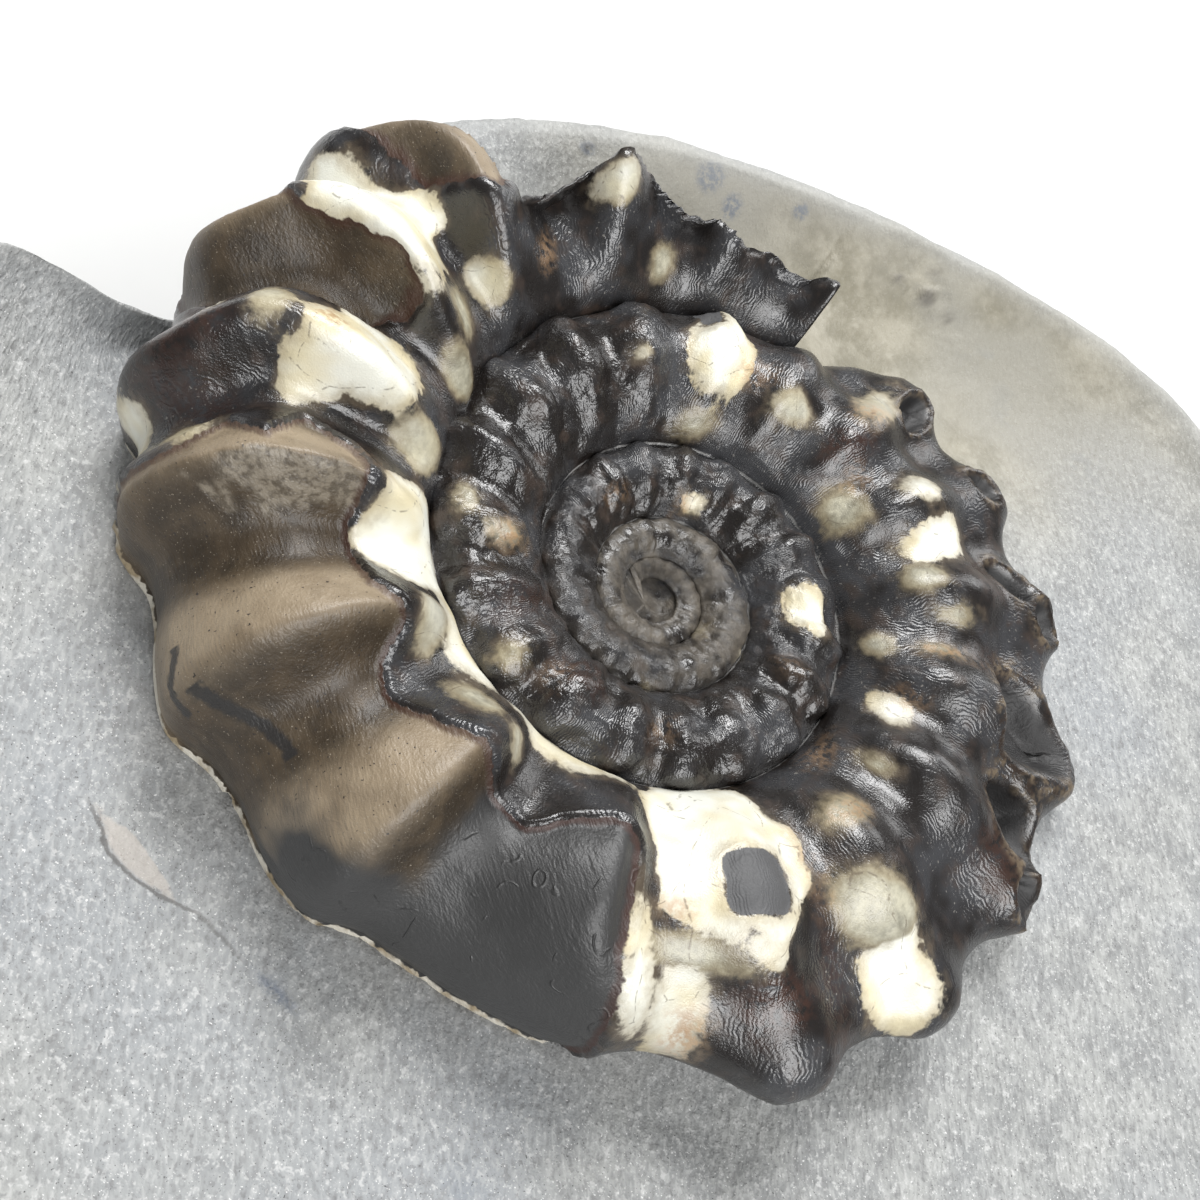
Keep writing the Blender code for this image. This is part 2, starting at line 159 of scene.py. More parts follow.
# Fractal noise: height in mm, size in mm, seed, octaves
LUMPS = (0.15, 2.2, 21, 2)
SMALL_LUMPS = (0.09, 1.1, 23, 2)
OUTER_LUMPS = (0.05, 1.6, 27, 2)
WALL_LUMPS = (0.24, 1.9, 35, 3)
FOLDS = (0.10, 4.5, 30.0, 25)  # height, degrees along and round the whorl, seed
# Noise: height in mm, size in mm, seed; the first two also bend the outlines of patches
RAGGED = ((0.30, 1.1, 11), (0.16, 0.45, 12))
BROAD = ((0.30, 2.6, 13), (0.16, 1.2, 14))
CREASES = ((0.20, 1.25, 28), (0.11, 0.6, 29))
CREASE_MIDDLE = 0.08
TORN = ((0.50, 9.0, 61), (0.22, 2.2, 62))  # sizes here are degrees of growth
TORN_LEAST = 0.16
TORN_WIDER = (0.42, 832.0, 842.0, 872.0, 884.0)  # by how much, and where
TORN_FROM_TO = (779.0, 783.0, 898.0, 906.0)
TORN_HEIGHT = 0.24
BROKEN_WALL = (914.0, 922.0)
BROKEN_WALL_SECTION = (-95.0, -60.0)
# Rough spot where the filling's surface has come off
ROUGH_SPOT_HEIGHT = ((0.12, 0.75, 63),)
ROUGH_SPOT_DEPTH = 0.06
ROUGH_SPOT = ((855.6, 90.0, 2.4, 36.0, 0.0, 1.0),)
# Pale line along the seam: distance from it, width and height
SEAM_LINE = (0.16, 0.09, 0.09)

# Underside
WEB_RADIUS = 4.0
WEB_DEPTH = 4.2
POCKET_DEPTH = WEB_DEPTH + 1.6  # floor of the stone's pocket

# Nodule: azimuth, radius of the rim, its height over the middle plane
RIM_POINTS = (
    (0, 43, 4.2), (33, 43.5, 4.2), (66, 38.6, 4), (88, 32.6, 3.2), (99, 30, 2.8),
    (112, 28.2, 2.4), (137, 26.9, 1.4), (152, 26.3, 1.3), (164, 26, 0.4), (174, 25.4, -3.6),
    (188, 25.2, -5), (197, 26.6, -1.6), (204, 30.6, 3), (232, 37, 3.2), (270, 41.5, 4.6),
    (315, 43.5, 4.8),
)
CONTACT_LOW = -2.4
CONTACT_HIGH = 1.6
CONTACT_BROKEN = 0.0
CONTACT_OVERHANG = -4.4
CONTACT_SEARCH = (60.0, -78.0, 553)  # section angles between which the contact lies, and steps
OVERHANG_ANGLE = 892.0
OVERHANG_LENGTH = 13.0
TUBERCLES_LOW = 705.0
CONTACT_RAMP = 60.0
BASE_SHARE = 0.60
BASE_EDGE = (0.8, 0.12)  # out and up from the flat underside
BASE_INNER = 0.6
BULGE = 3.4
BULGE_DEPTH = 8.5
CUT_AWAY_ANGLES = (152, 172, 192, 212)
CUT_AWAY_BULGE = 5.0
LUMP_HEIGHT = 1.5
LUMP_WAVES = ((2.0, 3.0, 0.6, 0.5), (5.0, -4.0, 2.1, 0.35), (9.0, 7.0, 0.0, 0.2))
DISH_MARGIN = 0.16
DISH_LEAST = 0.8
DISH_CURVE = 1.5
DISH_SPACING = 1.15  # above 1 the columns crowd at the shell
DISH_TUCK = (0.25, 0.03)  # how far it starts inside the shell's skin, and over what
CHANNEL_START = 928.0
CHANNEL_END = 1032.0
CHANNEL_FADE = 30.0
CHANNEL_DEPTH = 2.2
CHANNEL_SKEW = 0.8
RIM_ROUND = (1.9, 2.0)  # out and down from the rim
POCKET_ANGLES = (-134, -108, -82, -58, -44)
POCKET_GAP = (0.3, 0.5, 0.2)  # outward, up and down, and lower all over

# Columns of the stone's grid, from the pocket to the base
STONE_ROWS = 600
POCKET_COLUMNS = len(POCKET_ANGLES) + 1
DISH_COLUMNS = 65
RIM_TURNS = (0.0, 80.0, 8)
SIDE_LEVELS = (2.0, 80.0, 62)
BASE_COLUMNS = 3

NO_CONTACT = -999.0  # section angle where the inner whorls meet no stone

# Relief of the stone, as above, and the roughness of its octaves
STONE_WAVES = (0.22, 7.0, 41, 3)
STONE_GRAIN = (0.055, 0.9, 44, 2, 0.6)
WEATHERED = (0.55, 5.0, 47, 4)
WEATHERED_PITS = ((0.20, 2.2, 52),)
# Broken corner of the channel: azimuth, radius and the spread of each
CORNER = (91.0, 29.3, 5.5, 1.6)
CORNER_ROUGH = (0.42, 1.3, 71, 2)
# Small dents in the dish: azimuth, radius and size in mm
STONE_DENTS = ((91.5, 29, 0.75), (88, 29.2, 0.55), (95.5, 28.4, 0.5), (93, 30.2, 0.5),
               (138, 26.3, 0.4))
DENT_DEPTH = 0.14
# Pale shell fragment in the dish: azimuth, radius of its middle, half width in mm
FRAGMENT = ((246, 25.2, 0), (249.5, 24.8, 0.25), (252, 24.4, 0.80), (255, 24.1, 0.75),
            (258, 23.7, 0.50), (261, 23.4, 0.06), (267, 23.3, 0), (274, 22.8, 0))
FRAGMENT_LINE = (246.0, 249.0, 264.0, 268.0)
NOT_IN_DISH = 5.0  # depth by which the fragment is off outside the dish
# Blue-grey stains: azimuth, radius, half length and half width in mm
BLUE_STAINS = ((270.5, 23.1, 1.5, 0.40), (122, 27, 0.9, 0.8), (118, 26.2, 0.6, 0.6),
               (138, 26.3, 0.5, 0.35), (110, 27.6, 0.5, 0.4))

# Black streaks on the filling: growth angles, section angles and half width in degrees
STREAKS = ((826.5, 836, 40, 30, 5), (834.5, 841, 17, 27, 3.4))


# ---- numbers and noise

def smooth(value, low, high):
    """Eased step from 0 at low to 1 at high."""
    share = np.clip((value - low) / (high - low), 0.0, 1.0)
    return share * share * (3.0 - 2.0 * share)


def between(value, start, full, fade, end):
    """1 from full to fade, easing to 0 at start and at end."""
    return smooth(value, start, full) * (1.0 - smooth(value, fade, end))


def curve(value, knots):
    """Value between the knots of a table."""
    return np.interp(value, *np.array(knots).T)


def hump(value, middle, width):
    """Bell that is 1 at the middle."""
    return np.exp(-((value - middle) / width) ** 2)


def hashed(cell, seed):
    """Whole numbers that look random, one for each cell of a grid."""
    mixed = cell[..., 0] * 73856093 ^ cell[..., 1] * 19349663 ^ cell[..., 2] * 83492791
    mixed = (mixed + seed * 1013904223) & 0x7FFFFFFF
    mixed = ((mixed ^ (mixed >> 13)) * 1274126177) & 0x7FFFFFFF
    return mixed ^ (mixed >> 16)


def noise(points, size, seed):
    """Smooth gradient noise from about -1 to 1, with features of a given size."""
    scaled = points / size
    cell = np.floor(scaled).astype(np.int64)
    part = scaled - cell
    ease = part * part * part * (part * (part * 6.0 - 15.0) + 10.0)
    total = np.zeros(points.shape[:-1])
    for corner in itertools.product((0, 1), repeat=3):
        value = hashed(cell + np.array(corner), seed)
        weight = np.ones(points.shape[:-1])
        dot = np.zeros(points.shape[:-1])
        for axis in range(3):
            slope = ((value >> (10 * axis)) & 1023) / 511.5 - 1.0
            dot += slope * (part[..., axis] - corner[axis])
            near = ease[..., axis]
            weight = weight * (near if corner[axis] else 1.0 - near)
        total += weight * dot
    return total * 1.4


def fractal(points, size, seed, octaves=3, roughness=0.5):
    """Several sizes of noise on top of each other."""
    total = 0.0
    for octave in range(octaves):
        total = total + roughness ** octave * noise(points, size / 2.0 ** octave, seed + octave)
    return total


def rough(points, height, size, seed, octaves, roughness=0.5):
    """Fractal noise of a given height."""
    return height * fractal(points, size, seed, octaves, roughness)


def layered(points, layers):
    """Sum of noises, each with its height, size and seed."""
    return sum(height * noise(points, size, seed) for height, size, seed in layers)


def on_line(angle):
    """Points for noise that varies along the coil alone."""
    return np.stack([angle, np.zeros_like(angle), np.zeros_like(angle)], -1)


# ---- shape of the coil

def seam_radius(angle):
    """Radius of the umbilical seam."""
    oval = 1.0 + OVAL * np.cos(np.radians(angle + OVAL_AZIMUTH))
    return SEAM_RADIUS * np.exp(GROWTH_PER_DEGREE * (angle - SEAM_AT)) * oval


def mm_per_degree(angle, share):
    """Length of one degree on an arc whose radius is a share of the seam radius."""
    return share * seam_radius(angle) * math.radians(1.0)


def all_crests():
    """Growth angles of every rib's crest, from the start of the coil to its end."""
    count = math.ceil((RIB_CRESTS[0] - FIRST_ANGLE) / INNER_RIB_SPACING) + 1
    inner = [RIB_CRESTS[0] - INNER_RIB_SPACING * k for k in range(count, 0, -1)]
    return np.array(inner + list(RIB_CRESTS) + [RIB_CRESTS[-1] + INNER_RIB_SPACING])


CRESTS = all_crests()


def rib_place(angle):
    """Position between the crest before and the one after, and the distance to the nearer."""
    index = np.clip(np.searchsorted(CRESTS, angle, side="right") - 1, 0, len(CRESTS) - 2)
    before = CRESTS[index]
    after = CRESTS[index + 1]
    return (angle - before) / (after - before), np.minimum(angle - before, after - angle)


def keel(angle, section_angle):
    """Height of the keel and the tubercles on it, from 0 to 1."""
    tip = np.minimum(1.0, TUBERCLE_FLAT * hump(rib_place(angle)[1], 0.0, TUBERCLE_LENGTH))
    out = smooth(angle, COVERED_ANGLE, COVERED_ANGLE + KEEL_RISE)
    across = hump(section_angle, TUBERCLE_ANGLE, TUBERCLE_SPREAD)
    return (KEEL_SHARE + (1.0 - KEEL_SHARE) * tip) * across * out


def uncovered(angle, section_angle):
    """0 where the next whorl lies on this one, 1 where the surface is free."""
    fade_round, fade_along = UNDER_NEXT_FADE
    covered = 1.0 - smooth(section_angle, ANGLE_UNDER_NEXT, ANGLE_UNDER_NEXT + fade_round)
    return 1.0 - covered * (1.0 - smooth(angle, COVERED_ANGLE, COVERED_ANGLE + fade_along))


def leaning(angle, section_angle):
    """Growth angle moved by the lean of the ribs towards the venter."""
    lean = curve(angle, LEAN)
    return angle + lean * (1.0 - smooth(section_angle, *LEAN_SECTION))


def rib_size(angle, body):
    """Height of a rib, uneven and lower on the inner whorls."""
    size = RIB_HEIGHT + (BODY_RIB_HEIGHT - RIB_HEIGHT) * body
    steady, random, length, seed = UNEVEN_RIBS
    inner = 1.0 - smooth(angle, *INNER_WHORLS)
    size = size * (1.0 + inner * (steady + random * noise(on_line(angle), length, seed)))
    return size * (EARLY_RIB_SHARE + (1.0 - EARLY_RIB_SHARE) * smooth(angle, *EARLY_RIBS))


def relief(angle, section_angle):
    """Height of ribs and tubercles, as a share of the seam radius."""
    along = leaning(angle, section_angle)
    body = smooth(angle, *BODY_RIBS)
    phase = rib_place(along)[0]
    phase = phase - BODY_RIB_SKEW * body * np.sin(math.pi * phase) ** 2
    sharpness = RIB_SHARPNESS + (BODY_RIB_SHARPNESS - RIB_SHARPNESS) * body
    wave = (0.5 + 0.5 * np.cos(2.0 * math.pi * phase)) ** sharpness
    to_seam = smooth(-section_angle, -ANGLE_AT_SEAM, RIB_TO_SEAM - ANGLE_AT_SEAM)
    over_venter = smooth(section_angle, *VENTER_RIB_ANGLES)
    over_venter = VENTER_RIB_SHARE + (1.0 - VENTER_RIB_SHARE) * over_venter
    height = rib_size(angle, body) * (wave - RIB_MIDDLE - BODY_RIB_DROP * body)
    height = height * to_seam * over_venter * smooth(section_angle, *UNDER_RIB_ANGLES)
    ending = smooth(angle, SPINES_END - SPINES_FADE, SPINES_END + SPINES_FADE)
    late = smooth(angle, *TUBERCLES_LOWER)
    spine = TUBERCLE_HEIGHT + (TUBERCLE_LATE_HEIGHT - TUBERCLE_HEIGHT) * late
    spine = spine * (1.0 - (1.0 - SPINES_LEFT) * ending)
    return (height + spine * keel(along, section_angle)) * uncovered(angle, section_angle)


def break_reach(angle):
    """How far out the whorl is left, as a share of the seam radius."""
    start = BREAK_REACH[0][0]
    teeth = layered(on_line(angle), BREAK_TEETH) * smooth(angle, start, start + BREAK_TEETH_FADE)
    eased = curve(angle, BREAK_REACH) + teeth
    return np.where(angle <= start, WHOLE, eased)


def section_point(angle, section_angle):
    """Radius and height of a point on the whorl; past the break it stands on a steep wall."""
    scale = seam_radius(angle)
    low = 1.0 - LOW_SHARE * smooth(angle, LOW_START, LOW_END)
    turn = np.radians(section_angle)
    bump = relief(angle, section_angle)
    centre = 1.0 + (SECTION_CENTRE - 1.0) * low
    reach = (VENTER_REACH - SECTION_CENTRE) * low + SWELL * hump(angle, SWELL_ANGLE, SWELL_LENGTH)
    width = HALF_WIDTH * low
    tuck = SEAM_TUCK * smooth(section_angle, SEAM_TUCK_START, ANGLE_AT_SEAM)
    radius = centre - tuck + (reach + bump) * np.cos(turn)
    height = (width + bump) * np.sin(turn)
    limit = break_reach(angle)
    edge = np.degrees(np.arccos(np.clip((limit - centre) / reach, -1.0, 1.0)))
    on_wall = (limit < centre + reach) & (np.abs(section_angle) < edge)
    wall_height = width * np.sin(np.radians(edge)) * section_angle / np.maximum(edge, 1.0)
    return np.where(on_wall, limit, radius) * scale, np.where(on_wall, wall_height, height) * scale


def place(angle, radius, height):
    """Points at growth angles, radii and heights."""
    turn = -np.radians(angle)
    return np.stack([radius * np.cos(turn), radius * np.sin(turn), height + 0.0 * turn], -1)


def grid_normals(points):
    """Outward directions on a grid of points, from its own slopes."""
    normal = np.cross(np.gradient(points, axis=0), np.gradient(points, axis=1))
    return normal / (np.linalg.norm(normal, axis=-1, keepdims=True) + 1e-12)


# ---- patches on the shell

# Growth angle, section angle, half length along the coil, half length round the section, degrees
# of growth that it leans over its half height, and strength
CREAM_PATCHES = (
    (650, 136, 7, 13, 0, 0.55), (621, 114, 6.5, 12, 0, 0.7), (635, 62, 4, 26, 0, 0.7),
    (654, 90, 3.6, 14, 0, 0.8), (665, 92, 5.2, 32, 1, 1), (673.5, 114, 4, 13, 0, 0.45),
    (682, 97, 2, 11, 0, 0.6), (691, 140, 3.4, 8, 0, 0.6), (690.5, 108, 2, 11, 0, 0.45),
    (708, 131, 4.4, 11, -1, 0.8), (724, 123, 2, 9, 0, 0.4), (740, 117, 5.6, 9.5, 0, 0.5),
    (744.5, 70, 6.8, 24, 1.5, 0.62), (743, 40, 5.6, 20, -1.5, 0.95),
    (767.5, 119, 14.5, 47, 0.5, 1), (773, 66, 7, 10, 1.5, 0.6), (773, 36, 4, 30, 0, 0.85),
    (780.5, 57, 2.8, 33, 3, 0.95), (803, 150, 18, 10, 0, 0.9), (832, 148, 15, 12, 0, 0.95),
    (836, 131, 5, 11, 0, 0.7), (820, 129, 5, 9, 0, 0.62), (811, 127, 3, 7, 0, 0.7),
    (858, 138, 6, 19, 1, 1), (849, 139, 8, 21, 0, 0.9), (874, 141, 4.8, 11, 0, 0.7),
    (878.5, 108, 7.6, 28, 4.5, 1), (877, 72, 3, 8, 0, 0.7), (876, 49, 2, 6.5, 0, 0.8),
    (893, 143, 3.2, 9, 0, 0.55), (900, 131, 3.6, 9, 1, 0.55), (899.5, 84, 8.6, 36, 0, 1),
    (901, 44, 4.5, 20, 0, 0.9), (909.5, 133, 3.2, 9.5, 0, 0.75), (935, 115, 3.2, 8, 0, 0.75),
    (946, 141, 2.2, 6, 0, 0.45), (862.5, 44, 2.2, 16, 0, 0.75), (866, 6, 5, 12, 0, 0.95),
    (323, 97, 10, 27, 0, 1), (501, 101, 3.6, 19, 0, 0.75), (507, 74, 4, 10, 0, 0.65),
    (466, 70, 3, 13, 0, 0.45), (600, 92, 8.6, 44, 0, 1), (598, 143, 6.5, 10, 0, 0.4),
    (577.5, 101, 1.8, 5, 0, 0.75), (248, 132, 7, 13, 0, 0.9), (-5, 146, 9, 13, 0, 0.55),
    (-9, 46, 4, 8, 0, 0.8), (60, 46, 3, 8, 0, 0.6),
)
# Holes in the cream: shell is gone, or dark shell shows
HOLE_PATCHES = (
    (764, 97.5, 5.4, 14.5, 0, 1), (596.5, 55, 2.2, 16, 0, 1),
)
OCHRE_PATCHES = (
    (878, 93, 2, 5, 0, 0.9), (728.5, 147, 4, 4, 0, 0.9), (739, 115, 4, 7, 0, 0.7),
    (690.5, 106, 2, 12, 0, 0.8), (704, 124, 2, 8, 0, 0.7), (771, 28, 2.4, 9, 0, 1),
    (776, 86, 2.4, 6, 0, 0.8), (752, 100, 2, 20, 0, 0.5), (923, 134, 2.2, 5.5, 0, 0.9),
    (501, 108, 4, 15, 0, 0.9), (416, 100, 3, 11, 0, 0.5), (198, 117, 4, 6, 0, 0.8),
    (242, 138, 3, 10, 0, 0.9), (635, 78, 3.6, 14, 0, 0.6), (645, 120, 3, 10, 0, 0.6),
    (610, 100, 5, 14, 0, 0.6), (862, 120, 3, 8, 0, 0.4), (350, 110, 4, 12, 0, 0.35),
    (455, 90, 2.6, 14, 0, 0.4),
)
BROWN_PATCHES = (
    (762, 46, 4.2, 10, 0, 1), (752, 50, 2, 30, 0, 0.6), (784, 22, 2.6, 18, 0, 0.9),
    (638, 112, 4, 16, 0, 0.8), (672, 62, 4, 20, 0, 0.6), (876, 40, 5, 22, 0, 1),
    (868, 40, 3, 20, 0, 0.5), (690, 60, 4, 20, 0, 0.5), (718, 40, 5, 16, 0, 0.7),
    (450, 110, 8, 18, 0, 0.6), (480, 110, 4, 30, 0, 0.6), (605, 60, 6, 14, 0, 0.6),
)

FAR_OUTSIDE = -9.0  # depth where no patch is near


def patch_depth(patches, angle, section, wobble, square=2.4, broad=0.0):
    """Distance inside the nearest patch in millimetres, negative outside, and its strength."""
    depth = np.full(angle.shape, FAR_OUTSIDE)
    strength = np.zeros(angle.shape)
    per_growth = mm_per_degree(angle, SECTION_CENTRE)
    per_section = mm_per_degree(angle, FLANK_SHARE)
    for centre, middle, length, width, lean, share in patches:
        across = (section - middle) / width
        along = (angle - centre - lean * across) / length
        size = np.minimum(per_growth * length, per_section * width)
        away = (np.abs(along) ** square + np.abs(across) ** square) ** (1.0 / square)
        here = (1.0 - away + broad) * size
        strength = np.where(here > depth, share, strength)
        depth = np.maximum(depth, here)
    return depth + wobble, strength


# Bare filling: growth angles with the section angle up to which the shell is gone
BARE_BODY_TOP = ((781, 60), (784, 108), (790, 113), (797, 110), (801, 100), (805, 106),
                 (813, 106), (821, 103), (826, 97), (830, 104), (835, 114), (842, 106),
                 (848, 115), (856, 114), (863, 112), (866, 104), (867, 92))
BARE_BODY_START = ((-140, 778), (10, 780), (40, 781), (60, 783), (100, 784), (170, 784))
BARE_BODY_END = ((-140, 860), (10, 859), (45, 860), (60, 864), (70, 862), (78, 860), (88, 865),
                 (98, 868), (106, 866), (170, 862))
BARE_RIBS = ((886.5, 74, 5.8, 42, 4, 1), (887, 30, 6.6, 40, 0, 1), (914, 68, 5.6, 38, 2, 1),
             (914, 30, 7, 40, 0, 1))


def bare_depth(angle, section, wobble):
    """Distance inside the bare filling in millimetres, negative on the shell."""
    per_growth = mm_per_degree(angle, SECTION_CENTRE)
    per_section = mm_per_degree(angle, FLANK_SHARE)
    top = curve(angle, BARE_BODY_TOP)
    start = curve(section, BARE_BODY_START)
    end = curve(section, BARE_BODY_END)
    body = np.minimum((top - section) * per_section, (angle - start) * per_growth)
    body = np.minimum(body, (end - angle) * per_growth)
    ribs = patch_depth(BARE_RIBS, angle, section, 0.0)[0]
    return np.maximum(body, ribs) + wobble


# ---- stone profiles

def rim_at(azimuth):
    """Radius and height of the nodule's rim, on a smooth closed curve."""
    azimuth %= TURN
    k = sum(point[0] <= azimuth for point in RIM_POINTS) - 1
    before, low, high, after = (np.array(RIM_POINTS[(k + i) % len(RIM_POINTS)])
                                for i in (-1, 0, 1, 2))
    span_before, span, span_after = ((b - a)[0] % TURN for a, b in
                                     ((before, low), (low, high), (high, after)))
    t = (azimuth - low[0]) / span
    slope_low = (high - before) * span / (span + span_before)
    slope_high = (after - low) * span / (span + span_after)
    point = (1.0 + 2.0 * t) * (1.0 - t) ** 2 * low + t * (1.0 - t) ** 2 * slope_low
    point += t * t * (3.0 - 2.0 * t) * high + t * t * (t - 1.0) * slope_high
    return point[1:]


def contact_height(angle):
    """Height at which the stone meets the shell."""
    high = 1.0 - smooth(angle, TUBERCLES_LOW, TUBERCLES_LOW + CONTACT_RAMP)
    height = CONTACT_LOW + (CONTACT_HIGH - CONTACT_LOW) * high
    height = height + (CONTACT_BROKEN - height) * smooth(angle, LOW_START, LOW_END)
    return height + CONTACT_OVERHANG * hump(angle, OVERHANG_ANGLE, OVERHANG_LENGTH)


def contact_point(angle):
    """Section angle, radius and height where the shell goes down into the stone."""
    sections = np.linspace(*CONTACT_SEARCH)
    radius, height = section_point(np.full(sections.shape, angle), sections)
    below = np.nonzero(height < contact_height(angle))[0]
    k = below[0] if len(below) else len(sections) - 1
    return sections[k], radius[k], height[k]


def lump(azimuth, level):
    """Slow unevenness of the weathered outside."""
    return LUMP_HEIGHT * sum(share * np.sin(around * azimuth + down * level + start)
                             for around, down, start, share in LUMP_WAVES)


def pocket_profile(angle):
    """The hidden pocket under the shell."""
    under = np.array(POCKET_ANGLES)
    outward_gap, round_gap, lower = POCKET_GAP
    radius, height = section_point(np.full(under.shape, angle), under)
    radius = radius + outward_gap * np.cos(np.radians(under))
    height = height + round_gap * np.sin(np.radians(under)) - lower
    return np.append(WEB_RADIUS, radius), np.append(-POCKET_DEPTH, height)


def dish_profile(angle, rim_radius, rim_height, channel):
    """The dish, from just inside the shell's skin up to the rim."""
    edge_radius, edge_height = contact_point(angle)[1:]
    spread = VENTER_REACH + DISH_MARGIN * (1.0 - smooth(angle, LOW_START, LOW_END))
    spread = min(spread, float(break_reach(np.array(angle))))
    foot = max(edge_radius, min(seam_radius(angle) * spread, rim_radius - DISH_LEAST))
    share = np.linspace(0.0, 1.0, DISH_COLUMNS + 1)[:-1] ** DISH_SPACING
    tuck, tuck_fade = DISH_TUCK
    radius = foot + (rim_radius - foot) * share
    radius = radius - (foot - edge_radius + tuck) * (1.0 - smooth(share, 0.0, tuck_fade))
    height = edge_height + (rim_height - edge_height) * share ** DISH_CURVE
    height = height - channel * CHANNEL_DEPTH * np.sin(math.pi * share ** CHANNEL_SKEW)
    return radius, height


def side_profile(angle, rim_radius, rim_height):
    """The rounded rim, the swelling side and the flat underside."""
    cut_away = between(-angle % TURN, *CUT_AWAY_ANGLES)
    turn = np.radians(np.linspace(*RIM_TURNS))
    out, down = RIM_ROUND
    level = np.radians(np.linspace(*SIDE_LEVELS))
    base = rim_radius * BASE_SHARE
    swell = BULGE - CUT_AWAY_BULGE * cut_away
    side = base + (rim_radius + swell - base) * np.cos(level)
    side = side + lump(math.radians(-angle), level) * (1.0 - cut_away)
    edge_out, edge_up = BASE_EDGE
    radii = (rim_radius + out * np.sin(turn) * (1.0 - cut_away), side,
             (base + edge_out, base, base * BASE_INNER))
    heights = (rim_height - down * (1.0 - np.cos(turn)),
               -BULGE_DEPTH + (FLOOR + BULGE_DEPTH) * np.sin(level),
               (FLOOR + edge_up, FLOOR, FLOOR))
    return np.concatenate(radii), np.concatenate(heights)


def stone_profile(angle):
    """Radius and height down the pocket, then out over dish and rim and down to the base."""
    rim_radius, rim_height = rim_at(-angle)
    lost = angle if angle > CHANNEL_START else angle + TURN
    channel = between(lost, CHANNEL_START, CHANNEL_START + CHANNEL_FADE,
                      CHANNEL_END - CHANNEL_FADE, CHANNEL_END)
    stretches = (pocket_profile(angle), dish_profile(angle, rim_radius, rim_height, channel),
                 side_profile(angle, rim_radius, rim_height))
    radii, heights = zip(*stretches)
    return np.concatenate(radii), np.concatenate(heights), channel


# ---- meshes

def quads(near, far):
    """Triangles between two rows of vertex numbers of the same length."""
    a, b, c, d = near[:-1], far[:-1], far[1:], near[1:]
    return np.concatenate([np.stack([a, b, c], -1), np.stack([a, c, d], -1)])


def fan(ring, centre):
    """Triangles from a closed ring of vertex numbers to one in its middle."""
    return np.stack([ring, np.roll(ring, -1), np.full(len(ring), centre)], -1)


def add(name, data):
    """Puts new data into the scene as an object."""
    thing = bpy.data.objects.new(name, data)
    bpy.context.scene.collection.objects.link(thing)
    return thing


def outward(data):
    """Makes every face point out of its closed surface."""
    mesh = bmesh.new()
    mesh.from_mesh(data)
    bmesh.ops.recalc_face_normals(mesh, faces=mesh.faces[:])
    mesh.to_mesh(data)
    mesh.free()


def make_object(name, points, triangles, fields, material):
    """Closed smooth mesh in metres, with one number of each field at each vertex."""
    used = np.unique(triangles)
    number = np.zeros(len(points), np.int64)
    number[used] = np.arange(len(used))
    data = bpy.data.meshes.new(name)
    data.from_pydata((points[used] * MM + COIL_CENTRE).tolist(), [], number[triangles].tolist())
    data.validate()
    data.shade_smooth()
    for key, values in fields.items():
        layer = data.attributes.new(key, "FLOAT", "POINT")
        layer.data.foreach_set("value", values[used].astype(np.float32))
    data.materials.append(material)
    outward(data)
    thing = add(name, data)
    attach(thing, "root")
    return thing


def shell_height(angle, section, points, bare, hole, cream):
    """Lumps, creases and the broken shell's step, in millimetres."""
    fine_share = np.minimum(1.0, seam_radius(angle) / FINE_AT)
    inner = 1.0 - smooth(angle, *INNER_WHORLS)
    lumps = rough(points, *LUMPS) * fine_share + rough(points, *SMALL_LUMPS) * np.sqrt(fine_share)
    fold_height, fold_along, fold_round, seed = FOLDS
    wrinkled = np.stack([angle / fold_along, section / fold_round, np.zeros_like(angle)], -1)
    creases = sum(share * np.abs(noise(points, size, seed)) for share, size, seed in CREASES)
    folds = fold_height * noise(wrinkled, 1.0, seed) + creases - CREASE_MIDDLE
    height = (lumps + folds * fine_share) * (OUTER_ROUGHNESS + (1.0 - OUTER_ROUGHNESS) * inner)
    height += rough(points, *OUTER_LUMPS) * (1.0 - inner)
    height -= SHELL_THICKNESS * (smooth(bare, *SHELL_STEP) - STEP_MIDDLE)
    height += SHELL_EDGE[2] * hump(bare, *SHELL_EDGE[:2])
    height -= HOLE_DROP[2] * smooth(hole, *HOLE_DROP[:2])
    height += CREAM_RISE[2] * smooth(cream, *CREAM_RISE[:2])
    wall = smooth(angle, *BROKEN_WALL) * smooth(-section, *BROKEN_WALL_SECTION)
    height += rough(points, *WALL_LUMPS) * wall
    to_seam = smooth(-section, -ANGLE_AT_SEAM, CALM_AT_SEAM - ANGLE_AT_SEAM)
    return height * uncovered(angle, section) * to_seam


def torn_shell(angle, above, ragged):
    """Distance inside the torn shell left where the bare filling goes down into the stone."""
    wider, *where = TORN_WIDER
    torn = layered(on_line(angle), TORN) + TORN_LEAST + wider * between(angle, *where)
    return torn * between(angle, *TORN_FROM_TO) - above + 0.5 * ragged


def broken_tubercles(angle, section, points, ragged):
    """Height of the hollows with a thin lip that broken tips leave, and where they are."""
    height = np.zeros(angle.shape)
    hollow = np.zeros(angle.shape)
    lip = np.zeros(angle.shape)
    per_growth, per_section = (mm_per_degree(angle, share) for share in PIT_SHARES)
    for crest, middle, length, width, depth in PITS:
        along = (angle - crest) * per_growth / length
        across = (section - middle) * per_section / width
        ring = np.sqrt(along * along + across * across) + PIT_RAGGED * ragged
        inside = 1.0 - smooth(ring, *PIT_WALL)
        hollow = np.maximum(hollow, inside)
        height = height - depth * inside
        lip = np.maximum(lip, hump(ring, *PIT_LIP))
    height += (PIT_LIP_HEIGHT + np.abs(layered(points, PIT_LIP_ROUGH))) * lip * (1.0 - hollow)
    return height, hollow, lip


